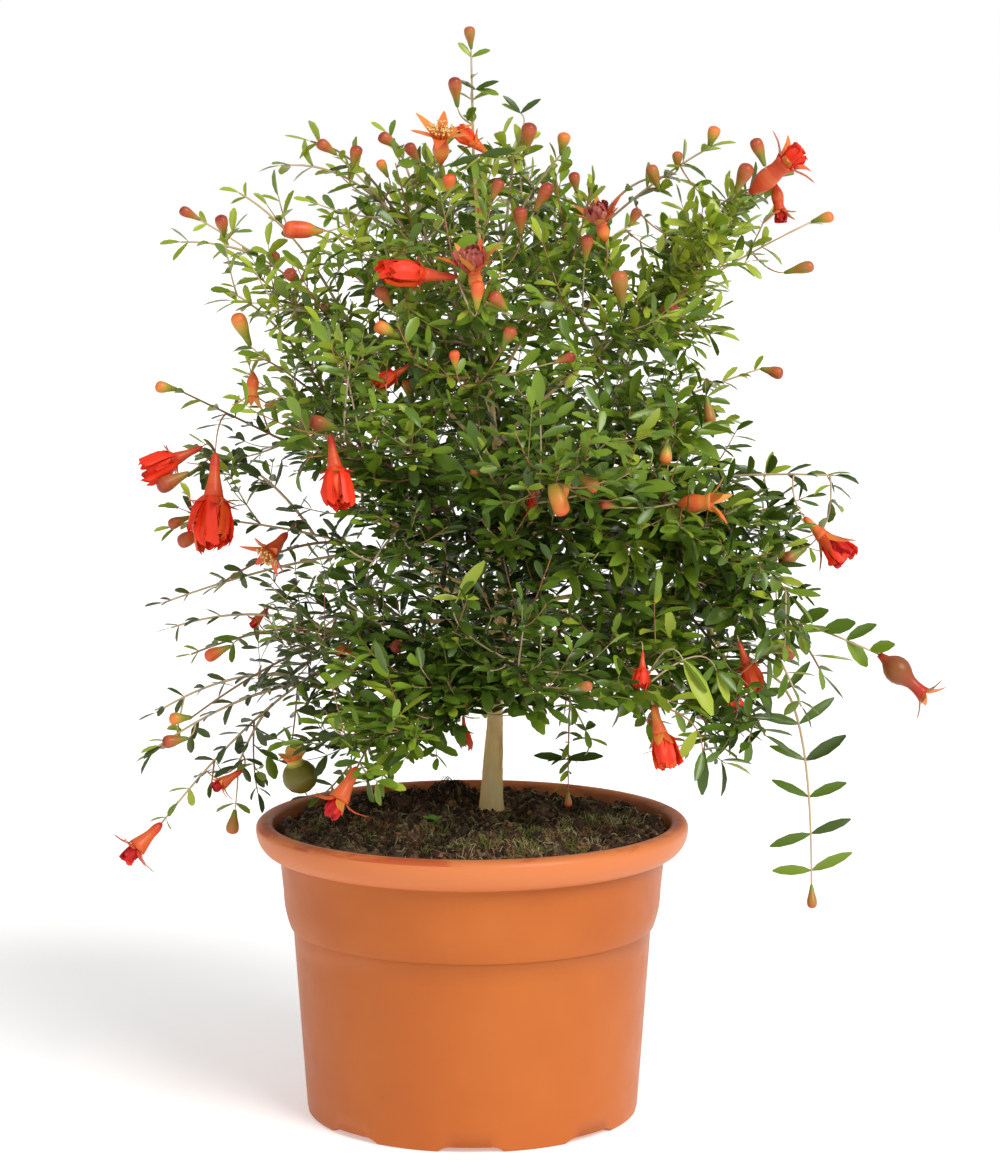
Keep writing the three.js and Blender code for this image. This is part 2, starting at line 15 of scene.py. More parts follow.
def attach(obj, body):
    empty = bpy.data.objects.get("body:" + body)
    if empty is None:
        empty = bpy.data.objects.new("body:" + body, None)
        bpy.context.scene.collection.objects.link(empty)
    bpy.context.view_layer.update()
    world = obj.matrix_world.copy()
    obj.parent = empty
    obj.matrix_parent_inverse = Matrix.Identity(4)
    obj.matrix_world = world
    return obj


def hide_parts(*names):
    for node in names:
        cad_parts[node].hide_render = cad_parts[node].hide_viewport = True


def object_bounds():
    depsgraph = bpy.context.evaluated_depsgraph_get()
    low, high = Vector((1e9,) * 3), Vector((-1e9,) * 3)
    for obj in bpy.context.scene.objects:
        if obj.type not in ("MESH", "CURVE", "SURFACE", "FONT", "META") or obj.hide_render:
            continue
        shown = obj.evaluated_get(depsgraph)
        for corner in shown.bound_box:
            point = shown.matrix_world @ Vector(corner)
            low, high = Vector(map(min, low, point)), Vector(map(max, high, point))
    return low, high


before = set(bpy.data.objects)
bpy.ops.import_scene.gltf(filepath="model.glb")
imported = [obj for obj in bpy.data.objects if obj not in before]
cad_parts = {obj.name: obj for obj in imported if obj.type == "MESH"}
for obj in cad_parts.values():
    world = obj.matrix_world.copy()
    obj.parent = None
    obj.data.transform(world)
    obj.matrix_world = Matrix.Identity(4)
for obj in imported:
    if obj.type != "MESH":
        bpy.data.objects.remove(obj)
CAD_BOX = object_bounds()

# ---------------------------------------------------------------- sizes, in millimetres

MM = 0.001
UP = np.array([0.0, 0.0, 1.0])
TURN = 2 * math.pi
GOLDEN_ANGLE = 2.39996

# Pot
RIM_RADIUS = 100.0
POT_HEIGHT = 136.8
BASE_RADIUS = 77.0
FOOT_ROUNDING = 1.6
STEP_HEIGHT = 87.4
STEP_RADIUS = 83.0
LEDGE = 1.5
BAND_FOOT_RADIUS = 87.4
BAND_TOP_RADIUS = 89.3
BAND_TOP_HEIGHT = 121.9
RIM_MIDDLE = 133.3
RIM_UNDERSIDE_RADIUS = 91.3
RIM_TOP_RADIUS = 95.5
RIM_INNER_RADIUS = 92.2
WALL = 1.6
FLOOR = 3.2
POT_SIDES = 192
DRAIN_CHANNELS = 8
DRAIN_WIDTH = 27.0
DRAIN_HEIGHT = 2.5
FOOT_DISC_RADIUS = 34.0

# Compost
SOIL_EDGE = 133.2
SOIL_TOP = 137.0
SOIL_RADIUS = 89.0
SOIL_FLAT_RADIUS = 30.0
SOIL_RINGS = 74
SOIL_SIDES = 180
SOIL_RELIEF = 4.9
# Raised lumps: across, back, height, spread across, spread back. The first three are the largest
SOIL_LUMPS = [(-10, 34, 12.0, 9, 6), (-30, 28, 8.0, 15, 7), (-50, 16, 4.0, 12, 9),
              (-30, -34, 3.5, 20, 9), (34, -46, 3.0, 18, 9), (-50, -26, 3.5, 8, 6),
              (2, -62, 3.0, 9, 6), (46, -22, 3.0, 7, 6), (64, -4, 3.0, 8, 6),
              (-66, -4, 3.0, 8, 6), (22, -66, 3.0, 6, 5)]
# Clods: colour, how many to a square metre, smallest and largest radius in metres, seed
CLODS = {
    "clods_large": ((0.055, 0.029, 0.016), 3200.0, 0.0018, 0.0042, 21),
    "clods_dark": ((0.040, 0.020, 0.011), 34000.0, 0.0005, 0.0025, 3),
    "clods_brown": ((0.27, 0.130, 0.062), 13000.0, 0.0005, 0.0021, 5),
    "clods_mossy": ((0.15, 0.155, 0.055), 3600.0, 0.0006, 0.0024, 11),
    "clods_pale": ((0.42, 0.31, 0.19), 4000.0, 0.0004, 0.0011, 8)}
TUFTS = 250
TUFTS_ON_LUMPS = 130
FIBRES = 1500
FIBRES_ON_LUMPS = 260

# Trunk and limbs
TRUNK_FOOT = SOIL_TOP + 0.35
TRUNK_ROUTE = [
    (9, 15, TRUNK_FOOT), (9, 15, 143), (11, 14, 190), (14, 8, 260), (9, 2, 330), (4, -4, 395),
    (1, -8, 440)]
# How the trunk narrows: share of its length, radius
TRUNK_TAPER = [(0.0, 5.1), (0.09, 4.4), (0.16, 3.4), (0.24, 2.5), (0.5, 1.5), (1.0, 0.8)]
ROOT_FLARE = 1.1
FLARE_HEIGHT = 8.0
BOUGH_RADIUS = 2.1
BOUGH_TIP_RADIUS = 0.8
BARK_RELIEF = 0.32

# Each limb: height on the trunk, tip of its mass, rise of its arch, bare share, leafiness, what
# its tip bears and the way that points in the front view, in degrees
LIMBS = {
    "far_left_low": (208, (-144, 0, 134), 42, 0.36, 0.65, "curled", 224),
    "left_low": (220, (-128, -14, 186), 26, 0.34, 0.75, "bud", 180),
    "left_middle": (236, (-128, -12, 278), 34, 0.3, 0.95, "bud", 200),
    "left_upper": (263, (-134, 0, 335), 30, 0.32, 0.55, "bud", 168),
    "upper_left": (300, (-122, -10, 412), 66, 0.28, 0.7, "bud", 149),
    "upper_left_inner": (343, (-60, -20, 441), 62, 0.2, 0.9, "bud", 143),
    "front_left_low": (200, (-49, -92, 177), 40, 0.34, 0.7, "curled", 240),
    "front_left": (252, (-60, -86, 321), 44, 0.3, 1.0, "bell", 278),
    "front_low": (211, (22, -112, 218), 24, 0.32, 1.2, "leaf", 0),
    "front_middle": (239, (34, -112, 305), 38, 0.28, 1.2, "long bud", 291),
    "front_right_low": (222, (80, -78, 202), 34, 0.32, 1.0, "lantern", 283),
    "front_right": (256, (90, -74, 290), 36, 0.28, 1.1, "spent", 4),
    "front_top": (318, (-6, -74, 388), 52, 0.22, 1.0, "bell", 175),
    "far_right_low": (230, (185, -20, 216), 30, 0.36, 0.8, "swollen", 321),
    "weeping_right": (243, (158, 4, 104), 118, 0.62, 0.4, "bud", 271),
    "right_middle": (267, (163, -26, 298), 34, 0.32, 0.9, "leaf", 0),
    "right_upper": (288, (131, -8, 345), 34, 0.3, 0.8, "bud", 348),
    "upper_right": (309, (154, 0, 411), 62, 0.28, 0.7, "bud", 18),
    "upper_right_inner": (346, (106, -20, 444), 66, 0.24, 0.8, "bud", 74),
    "back_right_low": (214, (118, 104, 190), 40, 0.3, 0.85, "bell", 300),
    "back_low": (204, (8, 150, 186), 40, 0.32, 0.85, "bud", 250),
    "back_left_low": (229, (-104, 104, 182), 36, 0.3, 0.8, "leaf", 0),
    "back_right": (275, (124, 92, 314), 40, 0.3, 0.85, "leaf", 0),
    "back": (247, (18, 142, 296), 38, 0.3, 0.9, "bell", 265),
    "back_left": (281, (-92, 104, 322), 40, 0.3, 0.85, "bud", 190),
    "back_right_top": (331, (74, 72, 408), 58, 0.24, 0.85, "bud", 60),
    "back_left_top": (324, (-42, 82, 416), 56, 0.24, 0.85, "bud", 110),
    "top_right": (385, (40, -22, 441), 32, 0.0, 0.9, "bud", 80),
    "leader": (440, (0, -10, 488), 20, 0.0, 0.7, "bud", 95),
}

# Lesser limbs that fork from a limb: parent, share along it, tip, rise, leafiness
SIDE_LIMBS = [
    ("far_right_low", 0.42, 132, -40, 182, 22, 1.25),
    ("front_right_low", 0.4, 108, -30, 184, 20, 1.0),
    ("far_right_low", 0.62, 150, -20, 192, 16, 1.3),
    ("right_middle", 0.46, 142, -44, 246, 20, 1.1),
    ("front_right", 0.45, 116, -56, 262, 18, 1.2),
    ("far_right_low", 0.3, 104, -6, 214, 16, 1.2), ("front_low", 0.35, -18, -84, 190, 18, 1.2),
    ("front_left_low", 0.4, -16, -62, 200, 18, 1.2),
    ("front_left", 0.35, -44, -70, 262, 18, 0.85), ("left_middle", 0.5, -116, -10, 246, 14, 0.95),
    ("left_low", 0.5, -138, -4, 226, 16, 0.85), ("left_middle", 0.62, -120, 4, 306, 14, 0.8),
    ("left_low", 0.28, -60, -40, 216, 16, 1.0), ("left_middle", 0.3, -52, -20, 282, 16, 0.6),
    ("left_upper", 0.42, -108, -18, 380, 26, 1.05), ("upper_left", 0.4, -88, -34, 372, 14, 1.1),
    ("upper_left_inner", 0.55, -85, -18, 436, 22, 0.45),
    ("upper_right_inner", 0.24, 58, -58, 356, 18, 1.2),
    ("upper_right", 0.34, 88, -40, 372, 14, 1.1),
    ("upper_left_inner", 0.3, -36, -50, 392, 26, 1.1),
    ("back_right_top", 0.4, 26, 60, 430, 22, 1.0),
    ("front_middle", 0.3, 46, -60, 256, 14, 1.2), ("front_left", 0.25, -12, -58, 268, 14, 1.2),
    ("upper_right_inner", 0.52, 92, -16, 430, 20, 0.9),
    ("upper_right", 0.5, 126, -8, 426, 22, 0.85), ("upper_right", 0.42, 110, -22, 396, 14, 1.05),
    ("right_middle", 0.6, 140, -12, 280, 12, 0.4),
    ("far_right_low", 0.72, 160, -14, 206, 10, 0.8),
    ("left_middle", 0.42, -141, -8, 238, 8, 0.35), ("far_left_low", 0.5, -145, -6, 187, 16, 0.35),
    ("far_left_low", 0.52, -143, -14, 173, 10, 0.35), ("left_low", 0.46, -130, 8, 212, 12, 0.4),
    ("upper_left_inner", 0.62, -72, -12, 447, 16, 0.4),
    ("upper_left_inner", 0.45, -38, -16, 451, 20, 0.5),
    ("upper_left", 0.55, -104, -14, 424, 14, 0.5), ("front_top", 0.42, -34, -58, 350, 14, 1.1),
    ("front_top", 0.3, 2, -64, 340, 12, 1.1), ("top_right", 0.35, 22, -30, 448, 16, 0.9),
    ("far_left_low", 0.6, -108, -4, 162, 8, 0.5),
    ("front_left_low", 0.3, -9, -52, 192, 12, 1.2),
    ("front_right_low", 0.35, 44, -56, 200, 12, 0.45),
    ("front_left_low", 0.3, -48, -40, 178, 14, 1.1),
    ("upper_right", 0.38, 108, -14, 364, 8, 1.0), ("left_upper", 0.35, -92, -26, 350, 14, 0.45),
    ("upper_left", 0.82, -131, -8, 402, 4, 1.0), ("back", 0.6, 6, 78, 350, 14, 0.9),
    ("back_low", 0.55, 0, 78, 236, 12, 1.0), ("back", 0.35, 12, 56, 285, 16, 1.0),
    ("back_left_low", 0.5, -50, 60, 242, 14, 0.95),
    ("back_right_low", 0.5, 62, 60, 240, 14, 0.95), ("back", 0.5, -4, 92, 292, 14, 0.9),
    ("back_left_top", 0.55, -12, 58, 396, 12, 0.85), ("back_right", 0.55, 40, 86, 318, 14, 0.85)]

# Reach of the crown's side shoots: height, left, right. Long limbs run past it with leaves only
CROWN_SIDES = [
    (130, -138, 112), (160, -152, 120), (200, -142, 140), (225, -140, 152), (250, -124, 160),
    (275, -134, 156), (294, -140, 146), (306, -132, 114), (318, -120, 114), (350, -108, 112),
    (375, -114, 114), (400, -122, 128), (425, -136, 158), (500, -136, 160)]
# Top of its side shoots: across, height
CROWN_RIDGE = [
    (-140, 398), (-124, 408), (-98, 420), (-84, 428), (-62, 438), (-37, 444), (-14, 458), (2, 482),
    (14, 466), (28, 456), (42, 446), (58, 414), (69, 390), (84, 414), (100, 438), (116, 436),
    (142, 428), (162, 400)]
# Underside of its side shoots: across, height in the plane of the trunk. It rises to the front
CROWN_FOOT = [
    (-170, 90), (-100, 118), (-70, 145), (-50, 156), (-30, 162), (-10, 172), (12, 190), (30, 188),
    (45, 181), (62, 178), (76, 170), (92, 158), (112, 156), (170, 90)]
FOOT_SLOPE = 0.13
RAGGED = 11.0
# Places where the crown is open: across, height, spread, share of the shoots that grow there
OPEN_PLACES = [
    (-122, 432, 44, 0.2), (-82, 434, 22, 0.1), (-56, 446, 20, 0.25), (-64, 424, 20, 0.4),
    (-44, 450, 18, 0.3), (-90, 395, 26, 0.6), (76, 430, 18, 0.05), (58, 440, 18, 0.2),
    (50, 426, 16, 0.2), (34, 430, 12, 0.4), (-50, 414, 20, 0.4), (-118, 408, 18, 1.7),
    (66, 424, 16, 0.05), (104, 424, 30, 0.95), (84, 393, 16, 1.0), (-110, 336, 26, 0.3),
    (-92, 336, 20, 0.4), (-70, 290, 16, 0.55), (-104, 246, 44, 0.38), (-76, 266, 16, 0.25),
    (-60, 266, 26, 0.05), (-116, 214, 30, 0.2), (-92, 216, 18, 0.3), (-116, 176, 40, 0.6),
    (-106, 154, 14, 1.6), (-142, 158, 24, 0.3), (30, 174, 14, 0.2), (72, 194, 20, 0.25),
    (-58, 380, 26, 0.6), (131, 310, 16, 0.2), (121, 322, 18, 0.1), (12, 172, 16, 0.0),
    (16, 436, 26, 0.8), (-6, 476, 14, 0.5), (128, 290, 16, 0.5), (70, 262, 26, 0.75),
    (98, 236, 22, 0.8), (122, 240, 20, 0.6), (102, 372, 22, 1.2)]

OPEN_HIGH = 0.27
# Limbs whose leaves are larger and face the front: leaf length, slimness, spacing, angle
WIDE_LEAFING = {"weeping_right": (20.0, 0.26, 16.0, 1.9), "far_right_low": (15.0, 0.42, 11.0, 1.0)}
# Limbs whose stem hangs: the knee it hangs from
HANGING = {"weeping_right": (157, 4, 226)}

# Blossom on shoots of its own, in the order it grows. Each kind has rows of its foot, its length
# and the way it points in the front view. Rows with the same foot share a shoot
BLOSSOM = [
    ("bell", [(-115, -24, 308, 38, 268), (-123, -2, 309, 25, 204)]),
    ("slim star", [(-83, -26, 272, 21, 228)]),
    ("curled", [(-94, 4, 234, 13, 226), (-106, -6, 160, 18, 212)]),
    ("bell", [(-4, -8, 186, 13, 274), (-26, -66, 350, 15, 212)]),
    ("withered", [(3, -76, 382, 22, 98)]),
    ("star", [(-13, -40, 437, 23, 90)]),
    ("lantern", [(9, -38, 440, 20, 141)]),
    ("withered", [(59, -54, 403, 20, 105)]),
    ("flask", [(125, -14, 424, 34, 41), (137, -6, 428, 20, 278)]),
    ("trumpet", [(149, -34, 280, 29, 314)]),
    ("bell", [(119, -50, 226, 20, 290), (75, -80, 226, 14, 268), (28, -70, 299, 14, 262)]),
    ("spent", [(-98, -20, 344, 17, 268)]),
    ("fruit", [(-75, -38, 156, 20, 106)]),
    ("bud", [(-6, -22, 462, 14, 96), (24, -30, 441, 15, 81), (-9, -52, 422, 11, 92),
        (28, -50, 416, 15, 62), (22, -54, 406, 13, 92), (47, -30, 424, 10, 100),
        (50, -56, 394, 13, 85), (-53, -20, 435, 11, 76), (-32, -20, 444, 11, 145),
        (-23, -24, 437, 11, 120), (-37, -22, 431, 9, 116)]),
    ("long bud", [(-66, -26, 407, 18, 174)]),
    ("bud", [(-99, -22, 356, 17, 112), (-128, -12, 298, 16, 203), (-119, -20, 273, 15, 202),
        (-130, -12, 176, 12, 186), (-111, 0, 217, 13, 202), (-110, 2, 140, 11, 262),
        (-34, -66, 374, 12, 120), (-30, -74, 362, 13, 150), (-56, -74, 322, 15, 160),
        (84, -20, 425, 13, 110), (92, -18, 434, 9, 90), (131, -20, 436, 14, 112),
        (118, -22, 424, 15, 68), (142, 0, 388, 14, 17), (105, -30, 334, 13, 279),
        (66, -66, 374, 18, 96), (150, -34, 266, 14, 207), (3, -88, 374, 14, 88),
        (16, -86, 374, 11, 130), (14, -88, 358, 11, 66), (-6, -88, 349, 9, 95),
        (36, -88, 352, 10, 20), (43, -106, 304, 12, 238), (46, -106, 306, 11, 322),
        (86, -70, 318, 11, 262), (64, -90, 290, 9, 165), (44, -22, 153, 7, 270)]),
    ("bright leaf", [(-5, -100, 252, 20, 57), (-5, -100, 252, 11, 176), (-5, -100, 252, 9, 2),
        (87, -44, 405, 18, 335), (100, -38, 425, 15, 317)]),
    ("dark leaf", [(22, -26, 459, 11, 132), (22, -26, 459, 11, 38), (4, -44, 440, 16, 12),
        (4, -44, 440, 14, 196), (2, -12, 470, 11, 22), (2, -12, 470, 9, 150)]),
    ("bright leaf", [(92, -92, 224, 27, 300), (108, -70, 216, 15, 292)]),
    ("dark leaf", [(102, -70, 180, 19, 270)]),
    ("bright leaf", [(29, -34, 201, 19, 280), (134, -8, 297, 11, 76), (134, -8, 297, 12, 22)]),
    ("dark leaf", [(130, -8, 298, 13, 165), (43, -22, 168, 15, 168), (43, -22, 168, 17, 10)]),
]
BLOSSOM_ROWS = [(kind, row[:3], *row[3:]) for kind, rows in BLOSSOM for row in rows]
# Blossom that limbs bear at their tips: its length
TIP_LENGTHS = {"bud": 10.5, "long bud": 17.0, "bell": 28.0, "trumpet": 27.0, "curled": 27.0,
               "lantern": 28.0, "spent": 23.0, "swollen": 35.0}
# How far blossom of a kind turns toward the outside, where it isn't the usual share
FACING = {"star": 0.6, "slim star": 0.6, "withered": 0.45}
USUAL_FACING = 0.25

# Shoots by order, which is stem of a mass, side shoots, fine shoots: the distance between nodes,
# radius at the foot and the tip, sides, the share of nodes with a shoot, and its length
SHOOT_RULES = [(6.6, 0.8, 0.46, 6, 1.0, 54.0), (5.6, 0.52, 0.26, 5, 0.66, 27.0),
               (5.0, 0.34, 0.221, 3, None, None)]
SHOOT_ANGLE = 0.87
SHOOT_LIFT = 0.26
LEAF_ANGLE = 0.95
LEAF_LENGTH = 10.4
LARGE_LEAF_LENGTH = 15.5
LEAF_GAIN_HIGH = 0.08
LARGE_SPRAYS = 0.07
LARGE_SPRAYS_RIGHT = 0.40
LEAF_SLIMNESS = 0.28
SLIMNESS_GAIN = 0.11
LARGE_LEAF_SLIMNESS = 0.37
OPEN_SPACING = 0.5
LEAF_THICKNESS = 0.2
LEAF_TILT = 0.34
LEAF_TILT_GAIN = 0.2
LEAF_TILT_RIGHT = 0.3
LEAF_UNREST = 0.3
LEAF_UNREST_GAIN = 0.14
LEAF_LEVEL = 0.5
LEVEL_GAIN_HIGH = 0.4
MISSING_LEAVES = 0.07
# Corners of the crown in the front view: across, height. Large sprays keep right of and below the
# first, and grow thicker past the second. Leaves keep a painted shade past the third, their light
# held low, and turn grey left of and below the last
LARGE_SPRAY_CORNER = (-50.0, 395.0)
RIGHT_CORNER = (55.0, 300.0)
DARK_CORNER = (95.0, 310.0)
GREY_CORNER = (-60.0, 320.0)
DARK_LIGHT = 1.20
GREY_SHARE = 0.55
YOUNG_GAIN = 0.3
LIGHT_UNREST = 0.22
HIGH_SHADE = 0.35
DARKER_LEAVES = 0.27
PALER_LEAVES = 0.1
BUD_CHANCE = 0.09
BUD_CLEARANCE = 15.0
# The shaded heart of the crown, and how far the shade reaches from it
SHADE_HEART = np.array([8.0, 0.0, 252.0])
SHADE_REACH = np.array([64.0, 190.0, 70.0])
SHADE_REACH_BELOW = 58.0

# ---------------------------------------------------------------- colours

# The first five are one green in painted shade inside the crown and painted light at its outside
LEAF_TONES = {
    "leaf shade green": (0.024, 0.042, 0.007),
    "leaf deep green": (0.050, 0.090, 0.010),
    "leaf green": (0.092, 0.164, 0.014),
    "leaf bright green": (0.170, 0.265, 0.020),
    "leaf young green painted lit": (0.330, 0.410, 0.035),
    "leaf grey green": (0.070, 0.102, 0.024)}
SHADE, DEEP, MIDDLE, BRIGHT, YOUNG_PAINTED_LIT, GREY = range(6)
# The light up to which a spray has each of the first four tones
LIGHT_LIMITS = (0.34, 0.66, 1.30, 2.25)
LONE_LEAVES = {"bright leaf": YOUNG_PAINTED_LIT, "dark leaf": DEEP}
WOOD_TONES = {
    "twig tan": (0.56, 0.42, 0.25), "twig brown": (0.27, 0.155, 0.075),
    "twig red": (0.40, 0.19, 0.085), "twig green": (0.30, 0.30, 0.085)}
# Tones of the shoots of each order, the first for the larger share of them
SHOOT_TONES = [(0, 1), (0, 2), (2, 3)]
FIRST_TONE_SHARE = 0.64
LITTER_TONES = {
    "moss olive": (0.150, 0.160, 0.035), "moss pale": (0.42, 0.39, 0.20),
    "moss dark": (0.030, 0.032, 0.012), "fibre brown": (0.120, 0.052, 0.024),
    "fibre tan": (0.33, 0.20, 0.10), "fibre dark": (0.020, 0.011, 0.007),
    "weed green": (0.17, 0.32, 0.05)}
LITTER = list(LITTER_TONES)
# Marks along a calyx, with a tone half way between each and the next
CALYX_MARKS = np.array([
    (0.17, 0.21, 0.028), (0.30, 0.29, 0.035), (0.50, 0.34, 0.045), (0.64, 0.30, 0.050),
    (0.74, 0.25, 0.045), (0.76, 0.19, 0.038), (0.74, 0.130, 0.032), (0.70, 0.080, 0.024),
    (0.62, 0.050, 0.020), (0.52, 0.034, 0.016), (0.42, 0.052, 0.026), (0.33, 0.062, 0.022),
    (0.26, 0.078, 0.018), (0.21, 0.25, 0.030), (0.40, 0.20, 0.038), (0.47, 0.125, 0.034),
    (0.39, 0.066, 0.026), (0.24, 0.024, 0.020)])
(GREEN, LIME, GOLD, AMBER, APRICOT, ORANGE, CORAL, VERMILION, RED, DEEP_RED, MAROON, RUST,
 TAN, OLIVE, BRONZE, COPPER, BRICK, WINE) = range(0, 36, 2)
BLOOM_TONES = {
    "calyx tone %d" % step: tuple(
        np.interp(step / 2, np.arange(18), CALYX_MARKS[:, k]) for k in range(3))
    for step in range(35)}
BLOOM_TONES |= {
    "petal scarlet": (0.82, 0.034, 0.006), "petal vermilion": (0.86, 0.090, 0.012),
    "petal crimson": (0.52, 0.008, 0.010), "petal withered": (0.37, 0.072, 0.058),
    "petal faded": (0.48, 0.140, 0.100), "stamen cream": (0.85, 0.60, 0.22),
    "stamen orange": (0.85, 0.24, 0.04), "fruit olive": (0.140, 0.120, 0.009),
    "fruit brown": (0.140, 0.100, 0.011)}
(SCARLET, ORANGE_RED, CRIMSON, WITHERED, FADED, CREAM, THREAD, FRUIT_OLIVE,
 FRUIT_BROWN) = range(35, 44)

# ---------------------------------------------------------------- small tools


def unit(vectors):
    """Vectors made one long."""
    return vectors / np.maximum(np.linalg.norm(vectors, axis=-1, keepdims=True), 1e-9)


def across(direction, angle):
    """A vector square to a direction, turned about it by an angle."""
    side = np.cross(direction, UP)
    if np.linalg.norm(side) < 0.05:
        side = np.array([1.0, 0.0, 0.0])
    side = unit(side)
    return side * math.cos(angle) + np.cross(direction, side) * math.sin(angle)


def rise_between(value, low, high):
    """Nought below one value and one above another, even in between."""
    return float(np.clip((value - low) / (high - low), 0.0, 1.0))


class Path:
    """A run of points that is read by its share of length."""

    def __init__(self, points):
        self.points = np.asarray(points, float)
        steps = np.linalg.norm(np.diff(self.points, axis=0), axis=1)
        self.way = np.concatenate([[0.0], np.cumsum(steps)])
        self.length = self.way[-1]

    def at(self, share):
        """The point at a share of the length, or a row of points."""
        place = np.clip(share, 0.0, 1.0) * self.length
        return np.stack([np.interp(place, self.way, self.points[:, k]) for k in range(3)], -1)

    def heading(self, share):
        """The way the run goes at a share of the length."""
        return unit(self.at(min(1.0, share + 0.02)) - self.at(max(0.0, share - 0.02)))

    def part(self, start, end, count):
        """A stretch of the run as a path of its own."""
        return Path(self.at(np.linspace(start, end, count)))


def arch(start, knee, end, count):
    """A quadratic arch through three points."""
    t = np.linspace(0.0, 1.0, count)[:, None]
    return Path((1 - t) ** 2 * start + 2 * t * (1 - t) * knee + t ** 2 * end)


def put(name, data):
    """An object in the scene."""
    made = bpy.data.objects.new(name, data)
    bpy.context.scene.collection.objects.link(made)
    return made


def ride(piece, slot, *nodes):
    """Every piece is part of the one body, and stands for the nodes that are named."""
    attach(piece, "root")
    if nodes:
        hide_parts(*nodes)


def shell(rings, sides):
    """Faces of a closed tube whose points run ring by ring, with a tip for either end after
    them. The bands come first, then the two fans, which have no fourth corner."""
    corner = np.arange((rings - 1) * sides).reshape(-1, sides)
    after = np.roll(corner, -1, axis=1)
    tip, none = np.full(sides, rings * sides), np.full(sides, -1)
    return np.concatenate([
        np.stack([corner, after, after + sides, corner + sides], -1).reshape(-1, 4),
        np.stack([tip, after[0], corner[0], none], 1),
        np.stack([tip + 1, corner[-1] + sides, after[-1] + sides, none], 1)])


def rings_round(paths, radii, sides):
    """Rings round many paths at once: paths (k, n, 3), radii (k, n) give (k, n, sides, 3)."""
    headings = unit(np.gradient(paths, axis=1))
    chord = unit(paths[:, -1] - paths[:, 0])
    steady = np.where(np.abs(chord[:, 2:3]) < 0.8, UP, np.array([1.0, 0.0, 0.0]))
    first = unit(np.cross(headings, steady[:, None, :]))
    second = np.cross(headings, first)
    angles = np.arange(sides)[:, None] * TURN / sides
    spokes = first[:, :, None] * np.cos(angles) + second[:, :, None] * np.sin(angles)
    return paths[:, :, None] + spokes * np.asarray(radii)[:, :, None, None]


class Batch:
    """Faces that are gathered for one joined piece, each with a material's place, its slot."""

    def __init__(self):
        self.points, self.faces, self.slots, self.rims, self.count = [], [], [], [], 0

    def add(self, points, faces, slots, rim=False):
        """Like bodies: points (k, n, 3) in millimetres, faces (m, 4) of each, slots that fit
        (k, m) and rim marks that fit (k, n)."""
        points, faces = np.asarray(points, float), np.asarray(faces)
        many, size = points.shape[:2]
        start = self.count + size * np.arange(many)[:, None, None]
        self.points.append(points.reshape(-1, 3))
        self.faces.append(np.where(faces < 0, -1, faces + start).reshape(-1, 4))
        self.slots.append(np.broadcast_to(slots, (many, len(faces))).ravel())
        self.rims.append(np.broadcast_to(rim, (many, size)).ravel())
        self.count += many * size

    def skin(self, rings, tips, slots=0):
        """A closed body of rings (n, sides, 3) and two tips. It has one slot, or one for the
        first fan, for each band and for the last fan."""
        count, sides = rings.shape[:2]
        slots = np.broadcast_to(slots, count + 1)
        self.add([np.concatenate([rings.reshape(-1, 3), tips])], shell(count, sides),
                 np.repeat([*slots[1:-1], slots[0], slots[-1]], sides))

    def tubes(self, paths, radii, sides, slots):
        """Closed tubes along many paths of the same number of points."""
        paths = np.asarray(paths, float)
        count, steps = paths.shape[:2]
        rings = rings_round(paths, radii, sides).reshape(count, -1, 3)
        self.add(np.concatenate([rings, paths[:, :1], paths[:, -1:]], axis=1),
                 shell(steps, sides), np.reshape(slots, (-1, 1)))

    def piece(self, name, materials):
        """The gathered faces as one smooth object in metres, triangles first, with sharp edges
        along the rims."""
        faces, points = np.concatenate(self.faces), np.concatenate(self.points) * MM
        order = np.argsort(faces[:, 3] >= 0, kind="stable")
        faces, slots = faces[order], np.concatenate(self.slots)[order]
        sizes = (faces >= 0).sum(axis=1)
        corners = faces[faces >= 0]
        mesh = bpy.data.meshes.new(name)
        mesh.vertices.add(len(points))
        mesh.vertices.foreach_set("co", points.ravel())
        mesh.loops.add(len(corners))
        mesh.loops.foreach_set("vertex_index", corners)
        mesh.polygons.add(len(faces))
        mesh.polygons.foreach_set("loop_start", np.cumsum(sizes) - sizes)
        mesh.polygons.foreach_set("material_index", slots)
        mesh.polygons.foreach_set("use_smooth", sizes > 0)
        mesh.update(calc_edges=True)
        rims = np.concatenate(self.rims)
        if rims.any():
            ends = np.zeros(len(mesh.edges) * 2, int)
            mesh.edges.foreach_get("vertices", ends)
            sharp = mesh.attributes.new("sharp_edge", "BOOLEAN", "EDGE")
            sharp.data.foreach_set("value", rims[ends.reshape(-1, 2)].all(axis=1))
        mesh.validate()
        for material in materials:
            mesh.materials.append(material)
        return put(name, mesh)


